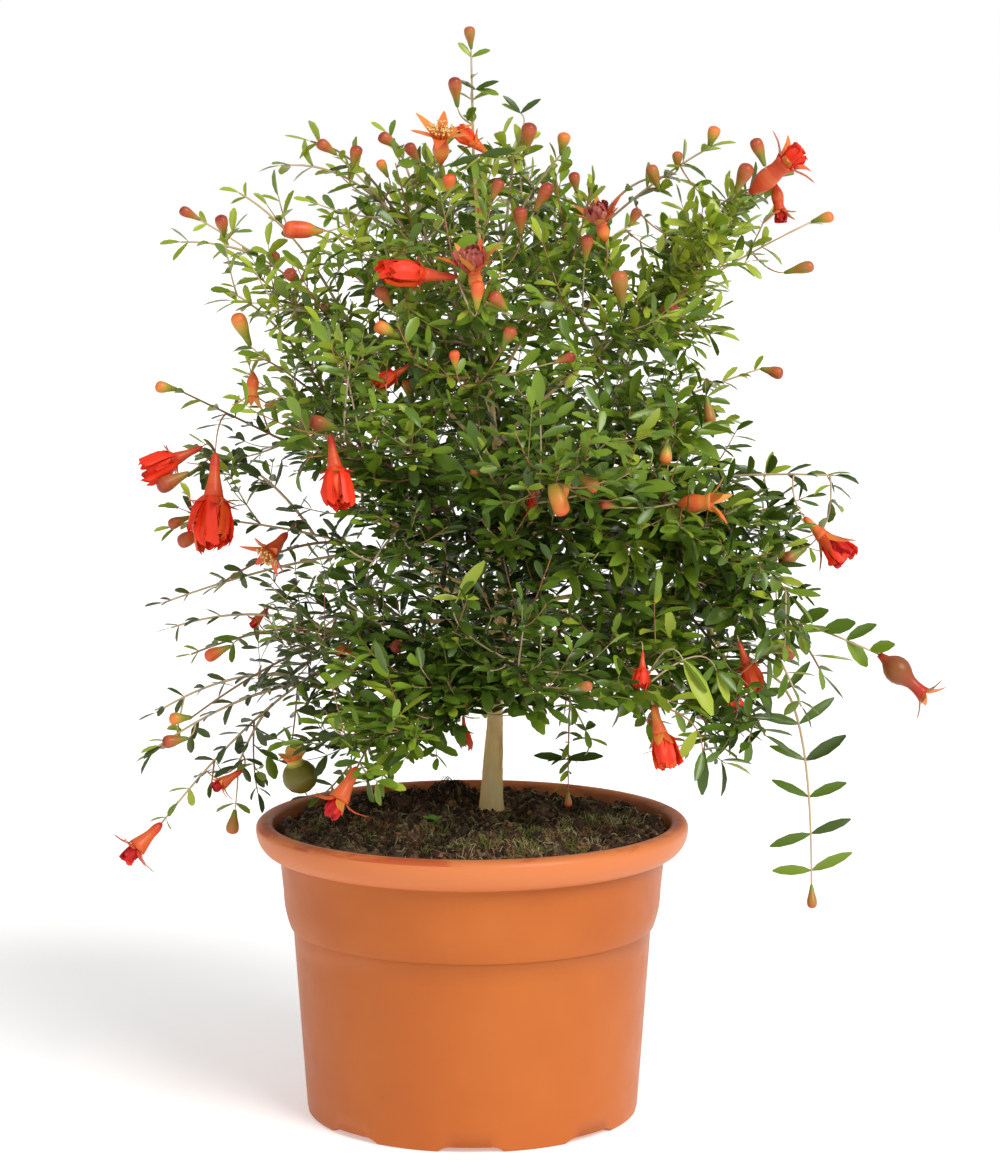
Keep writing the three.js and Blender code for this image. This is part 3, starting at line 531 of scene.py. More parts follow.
class Blade:
    """A thin closed leaf, sepal or petal. Rows run from root to tip, columns from edge to edge,
    and the rim is shared by its upper and its lower face."""

    def __init__(self, rows, half_widths, columns):
        row, column = np.divmod(np.arange(len(rows) * columns), columns)
        rim = (row % (len(rows) - 1) == 0) | (column % (columns - 1) == 0)
        upper = np.arange(len(row))
        inner = upper[~rim]
        lower = upper.copy()
        lower[inner] = len(upper) + np.arange(len(inner))
        self.grid = np.concatenate([upper, inner])
        sideways = np.array(half_widths)[row] * np.linspace(-1.0, 1.0, columns)[column]
        self.along, self.sideways = np.array(rows)[row][self.grid], sideways[self.grid]
        self.lift = np.concatenate([np.where(rim, 0.0, 0.5), np.full(len(inner), -0.5)])
        self.rim = np.concatenate([rim, np.zeros(len(inner), bool)])
        corner = upper.reshape(-1, columns)[:-1, :-1].ravel()
        square = np.stack([corner, corner + columns, corner + columns + 1, corner + 1], 1)
        self.faces = np.concatenate([upper[square][:, ::-1], lower[square]])

    def place(self, batch, rows, thickness, ruffle=0.0, seed=1):
        """Adds a blade for each row: root, direction, face, length, width, bend, fold, slot."""
        if not rows:
            return
        root, direction, face = (np.array([row[k] for row in rows], float) for k in range(3))
        length, width, bend, fold = (np.array([row[k] for row in rows], float)[:, None]
                                     for k in range(3, 7))
        side = unit(np.cross(face, direction))
        height = (fold * np.abs(self.sideways) * width + self.lift * thickness
                  - bend * self.along ** 2 * length)
        if ruffle:
            rng = np.random.default_rng(seed)
            wave = rng.normal(0.0, 1.0, (len(rows), self.grid.max() + 1))[:, self.grid]
            pleats = np.sin(10.0 * self.sideways + rng.uniform(0.0, 6.3, (len(rows), 1)))
            height = height + (0.8 * wave + 1.3 * pleats) * self.along ** 1.2 * ruffle * width
        points = root[:, None] + sum(
            way[:, None] * reach[:, :, None] for way, reach in (
                (direction, self.along * length), (side, self.sideways * width),
                (np.cross(direction, side), height)))
        batch.add(points, self.faces, [[row[7]] for row in rows], self.rim)


LEAF = Blade([0.0, 0.22, 0.52, 0.82, 1.0], [0.05, 0.3, 0.48, 0.44, 0.14], 3)
LARGE_LEAF = Blade([0.0, 0.2, 0.5, 0.8, 1.0], [0.05, 0.33, 0.5, 0.38, 0.09], 3)
SEPAL = Blade([0.0, 0.25, 0.55, 0.85, 1.0], [0.5, 0.5, 0.38, 0.19, 0.05], 3)
PETAL = Blade([0.0, 0.18, 0.38, 0.58, 0.78, 0.93, 1.0],
              [0.14, 0.3, 0.42, 0.5, 0.56, 0.52, 0.34], 7)

# ---------------------------------------------------------------- materials


def add_node(tree, kind, inputs=None, **settings):
    """A node with its settings. Each of its inputs takes a value or another node's output."""
    node = tree.nodes.new(kind)
    for name, value in settings.items():
        setattr(node, name, value)
    for key, value in (inputs or {}).items():
        if isinstance(value, bpy.types.NodeSocket):
            tree.links.new(value, node.inputs[key])
        else:
            node.inputs[key].default_value = value
    return node


def plain(name, colour, roughness, shine=0.35, glow=0.0):
    """A surface of one base colour, for small parts whose colour is dealt out part by part."""
    material = bpy.data.materials.new(name)
    material.use_nodes = True
    sockets = material.node_tree.nodes["Principled BSDF"].inputs
    for socket, value in (("Base Color", (*colour, 1.0)), ("Roughness", roughness),
                          ("Specular IOR Level", shine), ("Emission Strength", glow)):
        sockets[socket].default_value = value
    return material


def plain_set(tones, roughness, shine=0.35):
    """A surface for each of some tones."""
    return [plain(name, colour, roughness, shine) for name, colour in tones.items()]


class Finish:
    """A material whose colour and relief are patterned on Object coordinates."""

    def __init__(self, name, roughness, shine=0.5):
        self.material = plain(name, (0.8, 0.8, 0.8), roughness, shine)
        self.tree = self.material.node_tree
        self.sockets = self.tree.nodes["Principled BSDF"].inputs
        self.place = self.add("ShaderNodeTexCoord").outputs["Object"]

    def add(self, kind, inputs=None, **settings):
        """A node of this material."""
        return add_node(self.tree, kind, inputs, **settings)

    def noise(self, scale, detail=4.0, rough=0.55, stretch=None):
        """Grey noise, drawn out along an axis where its stretch is small."""
        place = self.place
        if stretch:
            place = self.add("ShaderNodeMapping", {"Vector": place, "Scale": stretch}).outputs[0]
        return self.add("ShaderNodeTexNoise", {
            "Vector": place, "Scale": scale, "Detail": detail, "Roughness": rough}).outputs["Fac"]

    def ramp(self, value, *stops):
        """Colours, or greys given as one number, at places along a value."""
        node = self.add("ShaderNodeValToRGB", {"Fac": value})
        elements = node.color_ramp.elements
        while len(elements) < len(stops):
            elements.new(0.5)
        for element, (place, colour) in zip(elements, stops):
            element.position = place
            element.color = (*colour, 1.0) if isinstance(colour, tuple) else (*[colour] * 3, 1.0)
        return node.outputs["Color"]

    def over(self, colour, share, paint):
        """A colour laid over another by a share."""
        return self.add("ShaderNodeMix", {0: share, 6: colour, 7: (*paint, 1.0)},
                        data_type="RGBA").outputs[2]

    def sum(self, operation, one, other=0.0):
        """One value worked out from one or two others."""
        return self.add("ShaderNodeMath", {0: one, 1: other}, operation=operation).outputs[0]

    def done(self, colour, relief, distance, strength=1.0):
        """The material, with its colour and its relief linked."""
        bump = self.add("ShaderNodeBump", {
            "Height": relief, "Distance": distance, "Strength": strength})
        self.tree.links.new(colour, self.sockets["Base Color"])
        self.tree.links.new(bump.outputs["Normal"], self.sockets["Normal"])
        return self.material


def pot_plastic():
    """Satin terracotta plastic: faint mottling, a paler rim, rubbed marks on and inside the lip,
    and painted shade mixed into the marks inside it.
    """
    finish = Finish("terracotta plastic", 0.42, 0.2)
    split = finish.add("ShaderNodeSeparateXYZ", {0: finish.place}).outputs
    radius = finish.sum("SQRT", finish.sum(
        "ADD", *(finish.sum("MULTIPLY", split[axis], split[axis]) for axis in "XY")))
    edge = (RIM_INNER_RADIUS + 0.6) * MM
    rim = finish.sum("GREATER_THAN", split["Z"], (BAND_TOP_HEIGHT + 0.4) * MM)
    shoulder = finish.sum(
        "MULTIPLY", finish.sum("GREATER_THAN", split["Z"], (RIM_MIDDLE + 1.2) * MM),
        finish.sum("GREATER_THAN", radius, edge))
    inside = finish.sum("MULTIPLY", rim, finish.sum("LESS_THAN", radius, edge))
    streaks = finish.ramp(finish.noise(26.0, 4.0, 0.6, (1.0, 1.0, 5.0)), (0.5, 0.0), (0.6, 0.85))
    rubs_and_shade = finish.ramp(finish.noise(70.0, 5.0, 0.6, (1.0, 1.0, 2.5)), (0.4, 0.0), (0.6, 0.6))
    colour = finish.ramp(finish.noise(14.0, 3.0), (0.3, (0.44, 0.107, 0.0185)),
                         (0.7, (0.505, 0.135, 0.0250)))
    colour = finish.over(colour, rim, (0.64, 0.193, 0.064))
    colour = finish.over(colour, finish.sum("MULTIPLY", shoulder, streaks), (0.47, 0.085, 0.028))
    # Darker brown inside the lip: rubbed marks and painted shade on the inner wall under the rim
    colour = finish.over(colour, finish.sum("MULTIPLY", inside, rubs_and_shade), (0.36, 0.110, 0.055))
    gloss = finish.ramp(finish.noise(90.0), (0.3, 0.34), (0.75, 0.46))
    finish.tree.links.new(gloss, finish.sockets["Roughness"])
    return finish.done(colour, finish.noise(900.0, 2.0), 0.00012, 0.35)


def bark():
    """Thin tan bark, with grey and brown patches drawn out along the wood."""
    finish = Finish("pomegranate bark", 0.82)
    grain = finish.noise(160.0, 6.0, 0.62, (1.0, 1.0, 0.28))
    colour = finish.ramp(grain, (0.30, (0.48, 0.27, 0.095)), (0.46, (0.88, 0.60, 0.23)),
                         (0.7, (0.98, 0.77, 0.36)))
    patches = finish.ramp(finish.noise(60.0, 3.0), (0.45, 0.0), (0.7, 0.55))
    return finish.done(finish.over(colour, patches, (0.84, 0.65, 0.37)), grain, 0.0006, 0.8)


def compost():
    """Dark fibrous potting compost, a little mossy."""
    finish = Finish("dark compost", 0.95)
    colour = finish.ramp(finish.noise(260.0, 8.0, 0.7), (0.34, (0.014, 0.007, 0.004)),
                         (0.5, (0.120, 0.064, 0.032)), (0.72, (0.36, 0.24, 0.13)))
    moss = finish.ramp(finish.noise(46.0, 5.0, 0.6), (0.58, 0.0), (0.70, 0.5))
    colour = finish.over(colour, moss, (0.070, 0.066, 0.024))
    return finish.done(colour, finish.noise(700.0, 6.0, 0.7), 0.0012)


def studio_white():
    """Matt white that glows a little, so that the floor meets the background unseen."""
    return plain("studio white", (0.93, 0.93, 0.93), 0.95, glow=0.35)


# ---------------------------------------------------------------- camera, light and floor

CAMERA_PLACE = (0.0129, -1.467, 0.4256)
CAMERA_PITCH = 0.122
CAMERA_LENS = 99.2
SKY_LIGHT = 0.46
# Soft lights: the way they come from, strength, spread, colour
LIGHTS = {"key light": ((1.2, -1.35, 1.45), 2.5, 0.55, (1.0, 0.985, 0.955)),
          "fill light": ((-1.2, -1.6, 0.9), 0.32, 1.2, (1.0, 1.0, 1.0))}
FLOOR_REACH = 30000.0


def set_studio():
    """Camera, soft lights, and a pale floor and surroundings that meet past the horizon."""
    scene = bpy.context.scene
    camera = put("camera", bpy.data.cameras.new("camera"))
    camera.data.lens = CAMERA_LENS
    camera.location = CAMERA_PLACE
    camera.rotation_euler = (math.pi / 2 - CAMERA_PITCH, 0.0, 0.0)
    scene.camera = camera
    scene.view_settings.view_transform = "Standard"
    for name, (toward, strength, spread, colour) in LIGHTS.items():
        light = put(name, bpy.data.lights.new(name, "SUN"))
        light.data.energy, light.data.angle, light.data.color = strength, spread, colour
        light.rotation_euler = Vector(toward).to_track_quat("Z", "Y").to_euler()
    scene.world = bpy.data.worlds.new("studio")
    scene.world.use_nodes = True
    tree = scene.world.node_tree
    tree.nodes.clear()
    cast, seen = (add_node(tree, "ShaderNodeBackground", {"Color": (1.0,) * 4, "Strength": glow})
                  for glow in (SKY_LIGHT, 1.0))
    ray = add_node(tree, "ShaderNodeLightPath")
    both = add_node(tree, "ShaderNodeMixShader", {
        0: ray.outputs["Is Camera Ray"], 1: cast.outputs[0], 2: seen.outputs[0]})
    add_node(tree, "ShaderNodeOutputWorld", {"Surface": both.outputs[0]})
    batch = Batch()
    corners = np.array([[(-1, -1, 0), (1, -1, 0), (1, 1, 0), (-1, 1, 0)]])
    batch.add(corners * FLOOR_REACH, [(0, 1, 2, 3)], 0)
    floor = batch.piece("studio_floor", [studio_white()])


# ---------------------------------------------------------------- pot


def arc(radius, height, half_width, half_height, start, end, count):
    """Points on an elliptic arc as (radius, height), angles in degrees."""
    return [(radius + half_width * math.cos(a), height + half_height * math.sin(a))
            for a in np.radians(np.linspace(start, end, count))]


def pot_outline():
    """The pot's outline from the middle of its underside round the rim to the inner floor."""
    wall = [(BASE_RADIUS + (STEP_RADIUS - BASE_RADIUS) * t, 1.6 + (STEP_HEIGHT - 2.2) * t)
            for t in np.linspace(0.0, 1.0, 9)]
    swell = BAND_FOOT_RADIUS - STEP_RADIUS - LEDGE
    band = [(STEP_RADIUS + LEDGE + swell * (1 - (1 - t) ** 2), STEP_HEIGHT + 0.5 + 16.0 * t)
            for t in np.linspace(0.0, 1.0, 8)]
    return [
        (0.0, 0.0), (18.0, 0.0), (FOOT_DISC_RADIUS, 0.0), (50.0, 0.0), (62.0, 0.0), (70.0, 0.0),
        *arc(BASE_RADIUS - FOOT_ROUNDING, FOOT_ROUNDING, FOOT_ROUNDING, FOOT_ROUNDING, -90, -12, 4),
        *wall,
        (STEP_RADIUS + 0.35, STEP_HEIGHT - 0.5), (STEP_RADIUS + 0.2, STEP_HEIGHT - 0.1),
        (STEP_RADIUS + LEDGE - 0.4, STEP_HEIGHT - 0.05),
        *band,
        ((BAND_FOOT_RADIUS + BAND_TOP_RADIUS) / 2, 113.0),
        (BAND_TOP_RADIUS - 0.1, BAND_TOP_HEIGHT - 1.2),
        (BAND_TOP_RADIUS + 0.2, BAND_TOP_HEIGHT - 0.3),
        *arc(RIM_UNDERSIDE_RADIUS, RIM_MIDDLE, RIM_RADIUS - RIM_UNDERSIDE_RADIUS,
             RIM_MIDDLE - BAND_TOP_HEIGHT, -86, 0, 10),
        *arc(RIM_TOP_RADIUS, RIM_MIDDLE, RIM_RADIUS - RIM_TOP_RADIUS, POT_HEIGHT - RIM_MIDDLE,
             12, 90, 7),
        *arc(RIM_TOP_RADIUS, POT_HEIGHT - 2.4, RIM_TOP_RADIUS - RIM_INNER_RADIUS, 2.4, 100, 180, 6),
        (RIM_INNER_RADIUS - 0.4, RIM_MIDDLE - 3.0), (BAND_TOP_RADIUS - WALL, BAND_TOP_HEIGHT),
        (BAND_FOOT_RADIUS - WALL, 103.0), (STEP_RADIUS - WALL, STEP_HEIGHT - 1.0),
        (BASE_RADIUS - WALL, FLOOR), (0.0, FLOOR)]


def make_pot():
    """The turned pot. Its underside is lifted where the drain channels run out to the foot."""
    outline = np.array(pot_outline())
    angles = np.arange(POT_SIDES) * TURN / POT_SIDES
    radius, height = outline[1:-1, :1], outline[1:-1, 1:] + 0 * angles
    step = TURN / DRAIN_CHANNELS
    aside = np.abs(radius * np.sin((angles + math.pi / 2 + step / 2) % step - step / 2))
    share = (np.clip((DRAIN_WIDTH / 2 - aside) / 1.6, 0.0, 1.0)
             * np.clip((radius - FOOT_DISC_RADIUS) / 8.0, 0.0, 1.0))
    height = np.where(height < DRAIN_HEIGHT, height * (1 - share) + share * DRAIN_HEIGHT, height)
    batch = Batch()
    batch.skin(np.stack([radius * np.cos(angles), radius * np.sin(angles), height], -1),
               [(0.0, 0.0, outline[0, 1]), (0.0, 0.0, outline[-1, 1])])
    ride(batch.piece("pot_shell", [pot_plastic()]), "pot_plastic", "pot")


# ---------------------------------------------------------------- compost


def soil_height(x, y):
    """Height of the compost: a low mound with lumps and hollows, heaped a little at the trunk."""
    share = rise_between(math.hypot(x, y), SOIL_FLAT_RADIUS, SOIL_RADIUS)
    base = SOIL_TOP - (SOIL_TOP - SOIL_EDGE) * share ** 1.3
    coarse = noise.fractal(Vector((x, y, 7.0)) / 15.0, 0.9, 2.1, 5)
    fine = noise.fractal(Vector((x, y, 3.0)) / 5.0, 0.8, 2.2, 4)
    trunk = math.hypot(x - TRUNK_ROUTE[0][0], y - TRUNK_ROUTE[0][1])
    heap = 1.4 * math.exp(-(trunk / 11.0) ** 2) + sum(
        rise * math.exp(-((x - middle) / wide) ** 2 - ((y - back) / deep) ** 2)
        for middle, back, rise, wide, deep in SOIL_LUMPS)
    relief = SOIL_RELIEF * (0.8 * coarse + 0.4 * fine) * min(1.0, 0.25 + trunk / 18.0)
    return base - 1.0 + heap + relief


def make_soil():
    """The compost that fills the pot."""
    rows = [(74.0, FLOOR + 0.8), (79.0, 84.0), (86.0, 118.0)]
    rows += [(SOIL_RADIUS * ring / SOIL_RINGS, None) for ring in range(SOIL_RINGS, 0, -1)]
    rings = []
    for radius, height in rows:
        ring = [(radius * math.cos(a), radius * math.sin(a))
                for a in np.arange(SOIL_SIDES) * TURN / SOIL_SIDES]
        rings.append([(x, y, soil_height(x, y) if height is None else height) for x, y in ring])
    batch = Batch()
    batch.skin(np.array(rings), [(0.0, 0.0, FLOOR + 0.8), (0.0, 0.0, soil_height(0.0, 0.0))])
    bed = batch.piece("compost_bed", [compost()])
    ride(bed, "compost", "soil")
    return bed


def clod_tree(material):
    """Geometry nodes that strew clods over the upper side of a surface."""
    tree = bpy.data.node_groups.new("strewn clods", "GeometryNodeTree")
    for name, kind in (("Bed", "Geometry"), ("Density", "Float"), ("Smallest", "Float"),
                       ("Largest", "Float"), ("Seed", "Int"), ("Clods", "Geometry")):
        tree.interface.new_socket(name, in_out="OUTPUT" if name == "Clods" else "INPUT",
                                  socket_type="NodeSocket" + kind)

    def add(kind, inputs=None, **settings):
        return add_node(tree, kind, inputs, **settings).outputs

    inlet = add("NodeGroupInput")
    height = add("ShaderNodeSeparateXYZ", {0: add("GeometryNodeInputNormal")[0]})["Z"]
    places = add("GeometryNodeDistributePointsOnFaces", {
        "Mesh": inlet["Bed"], "Density": inlet["Density"], "Seed": inlet["Seed"],
        "Selection": add("FunctionNodeCompare", {0: height, 1: 0.3})[0]})["Points"]
    size = add("FunctionNodeRandomValue", {2: inlet["Smallest"], 3: inlet["Largest"]})[1]
    seated = add("GeometryNodeInstanceOnPoints", {
        "Points": places,
        "Instance": add("GeometryNodeMeshIcoSphere", {"Subdivisions": 1, "Radius": 1.0})["Mesh"],
        "Rotation": add("FunctionNodeRandomValue", {1: (6.28, 6.28, 6.28)},
                        data_type="FLOAT_VECTOR")[0],
        "Scale": add("ShaderNodeVectorMath", {0: (1.0, 0.72, 0.55), "Scale": size},
                     operation="SCALE")[0]})[0]
    solid = add("GeometryNodeRealizeInstances", {0: seated})[0]
    painted = add("GeometryNodeSetMaterial", {"Geometry": solid, "Material": material})[0]
    add("NodeGroupOutput", {"Clods": painted})
    return tree


def strew_clods(bed):
    """Clods of compost and a few pale bits, strewn by geometry nodes and made plain meshes."""
    for name, (colour, *sizes) in CLODS.items():
        tree = clod_tree(plain(name.replace("_", " "), colour, 0.95))
        holder = put(name + "_holder", bed.data)
        modifier = holder.modifiers.new("clods", "NODES")
        modifier.node_group = tree
        for socket, value in zip(("Density", "Smallest", "Largest", "Seed"), sizes):
            modifier[tree.interface.items_tree[socket].identifier] = value
        bpy.context.view_layer.update()
        ready = holder.evaluated_get(bpy.context.evaluated_depsgraph_get())
        mesh = bpy.data.meshes.new_from_object(ready)
        mesh.name = name
        bpy.data.objects.remove(holder)
        ride(put(name, mesh), "compost")


def on_soil(x, y, lift):
    """A point that much above the compost, kept inside the pot."""
    inward = min(1.0, (SOIL_RADIUS - 2.5) / max(math.hypot(x, y), 1.0))
    return (x * inward, y * inward, soil_height(x * inward, y * inward) + lift)


def strewn(rng):
    """A place on the compost, even over its area."""
    radius, angle = (SOIL_RADIUS - 3.0) * math.sqrt(rng.random()), rng.random() * TURN
    return radius * math.cos(angle), radius * math.sin(angle)


def on_lump(rng, lumps, spread):
    """A place on or near one of some lumps."""
    lump = rng.choice(lumps)
    return lump[0] + rng.gauss(0, spread * lump[3]), lump[1] + rng.gauss(0, spread * lump[4])


def make_moss(rng):
    """Mossy tufts, short needles round a middle, thickest in the front half."""
    paths, slots = [], []
    for index in range(TUFTS):
        heaped = index < TUFTS_ON_LUMPS
        x, y = strewn(rng)
        if y > 0 and rng.random() < 0.5:
            y = -y
        if heaped:
            x, y = on_lump(rng, SOIL_LUMPS[3:], 0.8)
        kind = rng.choice(("moss olive", "moss pale", "fibre tan") if heaped else
                          ("moss dark", "fibre brown", "moss dark", "fibre brown", "moss olive"))
        size = rng.uniform(0.7, 1.4)
        for _ in range(14):
            lean = rng.random() * TURN
            px, py = x + rng.gauss(0, 1.6) * size, y + rng.gauss(0, 1.6) * size
            reach, rise = rng.uniform(1.4, 3.6) * size, rng.uniform(0.5, 2.8) * size
            ex, ey = px + reach * math.cos(lean), py + reach * math.sin(lean)
            paths.append([on_soil(px, py, -0.3), on_soil((px + ex) / 2, (py + ey) / 2, 0.8 * rise),
                          on_soil(ex, ey, rise)])
            slots.append(LITTER.index(kind))
    batch = Batch()
    batch.tubes(paths, np.array([[0.24, 0.2, 0.08]]).repeat(len(paths), 0), 3, slots)
    ride(batch.piece("moss_tufts", plain_set(LITTER_TONES, 0.9, 0.2)), "foliage")


def make_litter(rng):
    """Fibres and rootlets that lie on the compost, thickest on its lumps, and a weed."""
    paths, slots, radii = [], [], []
    for index in range(FIBRES):
        heaped = index < FIBRES_ON_LUMPS
        x, y = strewn(rng)
        if heaped:
            x, y = on_lump(rng, SOIL_LUMPS[:3], 0.7)
        turn, heading, points = rng.gauss(0, 0.22), rng.random() * TURN, []
        step, rise = rng.uniform(0.9, 2.6), rng.uniform(0.2, 1.6) * (2.2 if heaped else 1.0)
        for place in range(5):
            points.append(on_soil(x, y, rise * math.sin(place / 4 * math.pi) + 0.1))
            x, y = x + step * math.cos(heading), y + step * math.sin(heading)
            heading += turn + rng.gauss(0, 0.25)
        paths.append(points)
        radii.append(rng.uniform(0.10, 0.30) * np.array([1.0, 1.0, 1.0, 0.8, 0.5]))
        kind = rng.choice(("fibre brown", "fibre brown", "fibre tan", "fibre dark", "moss pale"))
        dark = heaped and rng.random() < 0.8
        slots.append(LITTER.index("fibre dark" if dark else kind))
    batch = Batch()
    batch.tubes(paths, radii, 3, slots)
    weed = np.array(on_soil(-18.0, -22.0, 1.0))
    LARGE_LEAF.place(batch, [
        (weed, unit(np.array([math.cos(angle), math.sin(angle), 0.7])), UP, 5.5, 4.6, 0.15, 0.1,
         LITTER.index("weed green")) for angle in (0.4, 1.6, 2.7, 4.2)], 0.25)
    ride(batch.piece("fibres_and_weed", plain_set(LITTER_TONES, 0.85, 0.25)), "compost")


# ---------------------------------------------------------------- trunk and boughs


def flowing(points, count):
    """A centripetal curve through points, as a path."""
    points = np.array(points, float)
    rows = np.concatenate([[2 * points[0] - points[1]], points, [2 * points[-1] - points[-2]]])
    made = []
    for a, b, c, d in zip(rows, rows[1:], rows[2:], rows[3:]):
        one, two, three = (np.linalg.norm(q - p) ** 0.5 for p, q in ((a, b), (b, c), (c, d)))
        leave = ((b - a) / one - (c - a) / (one + two) + (c - b) / two) * two
        reach = ((c - b) / two - (d - b) / (two + three) + (d - c) / three) * two
        for t in np.linspace(0.0, 1.0, count, endpoint=False):
            made.append(b + leave * t + (3 * (c - b) - 2 * leave - reach) * t ** 2
                        + (2 * (b - c) + leave + reach) * t ** 3)
    return Path([*made, points[-1]])


TRUNK = flowing(TRUNK_ROUTE, 40)


def trunk_radius(share):
    """The trunk's radius at a share of its length, with the flare at its foot."""
    taper = float(np.interp(share, *zip(*TRUNK_TAPER)))
    return taper + ROOT_FLARE * math.exp(-share * TRUNK.length / FLARE_HEIGHT)


def bend(start, end, share, height):
    """The knee of an arch: a share of the way across, at a height."""
    knee = start + (end - start) * share
    return np.array([knee[0], knee[1], height])


class Limb:
    """One limb: a bare bough, then the stem of its mass."""

    def __init__(self, name, row, seed):
        height, tip, rise, bare, self.leafiness, self.bears, self.angle = row
        shares = np.linspace(0.0, 1.0, 800)
        foot = float(np.interp(height, TRUNK.at(shares)[:, 2], shares))
        start, end = TRUNK.at(foot), np.array(tip, float)
        self.name = name
        self.whole = arch(start, bend(start, end, 0.42, start[2] + rise), end, 120)
        self.base_radius = min(BOUGH_RADIUS, 0.6 * trunk_radius(foot))
        self.stem = self.whole.part(bare, 1.0, 60)
        if name in HANGING:
            self.stem = arch(self.whole.at(bare), np.array(HANGING[name], float), end, 60)
        self.bough = self.whole.part(0.0, bare, 24) if bare else None
        self.rng = random.Random(seed)

    def radius_at(self, share):
        """The bough's radius. It swells where it leaves the trunk."""
        collar = 0.9 * math.exp(-share * self.bough.length / 5.0)
        return self.base_radius + (BOUGH_TIP_RADIUS - self.base_radius) * share + collar


LIMB_LIST = [Limb(name, row, 400 + 31 * k) for k, (name, row) in enumerate(LIMBS.items())]
BOUGHS = [limb for limb in LIMB_LIST if limb.bough]


def rough_tube(batch, path, radius_at, sides, rings, seed):
    """A limb with its bark's relief: long shallow ridges, small knots and dents."""
    shares = np.linspace(0.0, 1.0, rings)
    radii = np.array([radius_at(s) for s in shares])
    line = path.at(shares)
    points = rings_round(line[None], radii[None], sides)[0]
    for ring in range(rings):
        for side in range(sides):
            angle = side * TURN / sides
            place = Vector((math.cos(angle) * 2.2, math.sin(angle) * 2.2,
                            shares[ring] * path.length / 9.0 + seed))
            swell = noise.fractal(place, 0.9, 2.1, 5) + 0.5 * noise.noise(place * 0.35)
            out = (points[ring, side] - line[ring]) / max(radii[ring], 0.1)
            points[ring, side] += out * swell * BARK_RELIEF * min(1.0, radii[ring] / 3.0)
    batch.skin(points, [line[0], line[-1]])


def make_wood():
    """Trunk and boughs as one skin of bark."""
    batch = Batch()
    rough_tube(batch, TRUNK, trunk_radius, 40, 330, 1.0)
    for index, limb in enumerate(LIMB_LIST):
        if limb.bough:
            rough_tube(batch, limb.bough, limb.radius_at, 14, 34, 10.0 + index)
    ride(batch.piece("bark_of_trunk_and_boughs", [bark()]), "bark",
         "trunk", *["bough_" + limb.name for limb in BOUGHS])


# ---------------------------------------------------------------- growth

# What grows on the limbs: shoots by order as (points, pick of the tone), leaves as rows of a blade
# with their limb and whether they are large, and blooms as (kind, foot, way, length, placed)
TWIGS, LEAVES, BLOOMS = [[], [], []], [], []


def light_at(point):
    """How much light a place gets: least at the heart of the crown, most at its outside."""
    off = (np.asarray(point) - SHADE_HEART) / SHADE_REACH
    if off[2] < 0.0:
        off[2] *= SHADE_REACH[2] / SHADE_REACH_BELOW
    return float(np.linalg.norm(off))


def openness(point):
    """The share of shoots that grow at a place."""
    share = 1.0 - OPEN_HIGH * rise_between(point[2], 290.0, 400.0)
    for x, z, spread, kept in OPEN_PLACES:
        far = ((point[0] - x) ** 2 + (point[2] - z) ** 2) / spread ** 2
        share *= 1.0 - (1.0 - kept) * math.exp(-far)
    return share


def in_crown(point, ragged=0.0):
    """Inside the crown's sides, under its ridge and over its underside, and clear of the pot."""
    x, y, z = point
    if z < POT_HEIGHT + 5.0 and math.hypot(x, y) < RIM_RADIUS + 7.0:
        return False
    heights, lefts, rights = zip(*CROWN_SIDES)
    left, right = np.interp(z, heights, lefts), np.interp(z, heights, rights)
    low = np.interp(x, *zip(*CROWN_FOOT)) - FOOT_SLOPE * y
    return (left - ragged < x < right + ragged
            and low - ragged * 0.5 < z < np.interp(x, *zip(*CROWN_RIDGE)) + ragged)


def right_below(point, corner):
    """Whether a point lies right of and below a corner of the crown."""
    return point[0] > corner[0] and point[2] < corner[1]


def tone_for(point, rng, young):
    """A spray's leaf colour, by its light and its side of the crown."""
    light = light_at(point) + rng.gauss(0.0, LIGHT_UNREST) + (YOUNG_GAIN if young else 0.0)
    light -= HIGH_SHADE * rise_between(point[2], 380.0, 420.0)
    if right_below(point, DARK_CORNER):
        light = min(light, DARK_LIGHT + rng.gauss(0.0, 0.2))
    if (point[0] < GREY_CORNER[0] and point[2] < GREY_CORNER[1]
            and rng.random() < GREY_SHARE):
        return GREY
    return sum(light >= limit for limit in LIGHT_LIMITS)


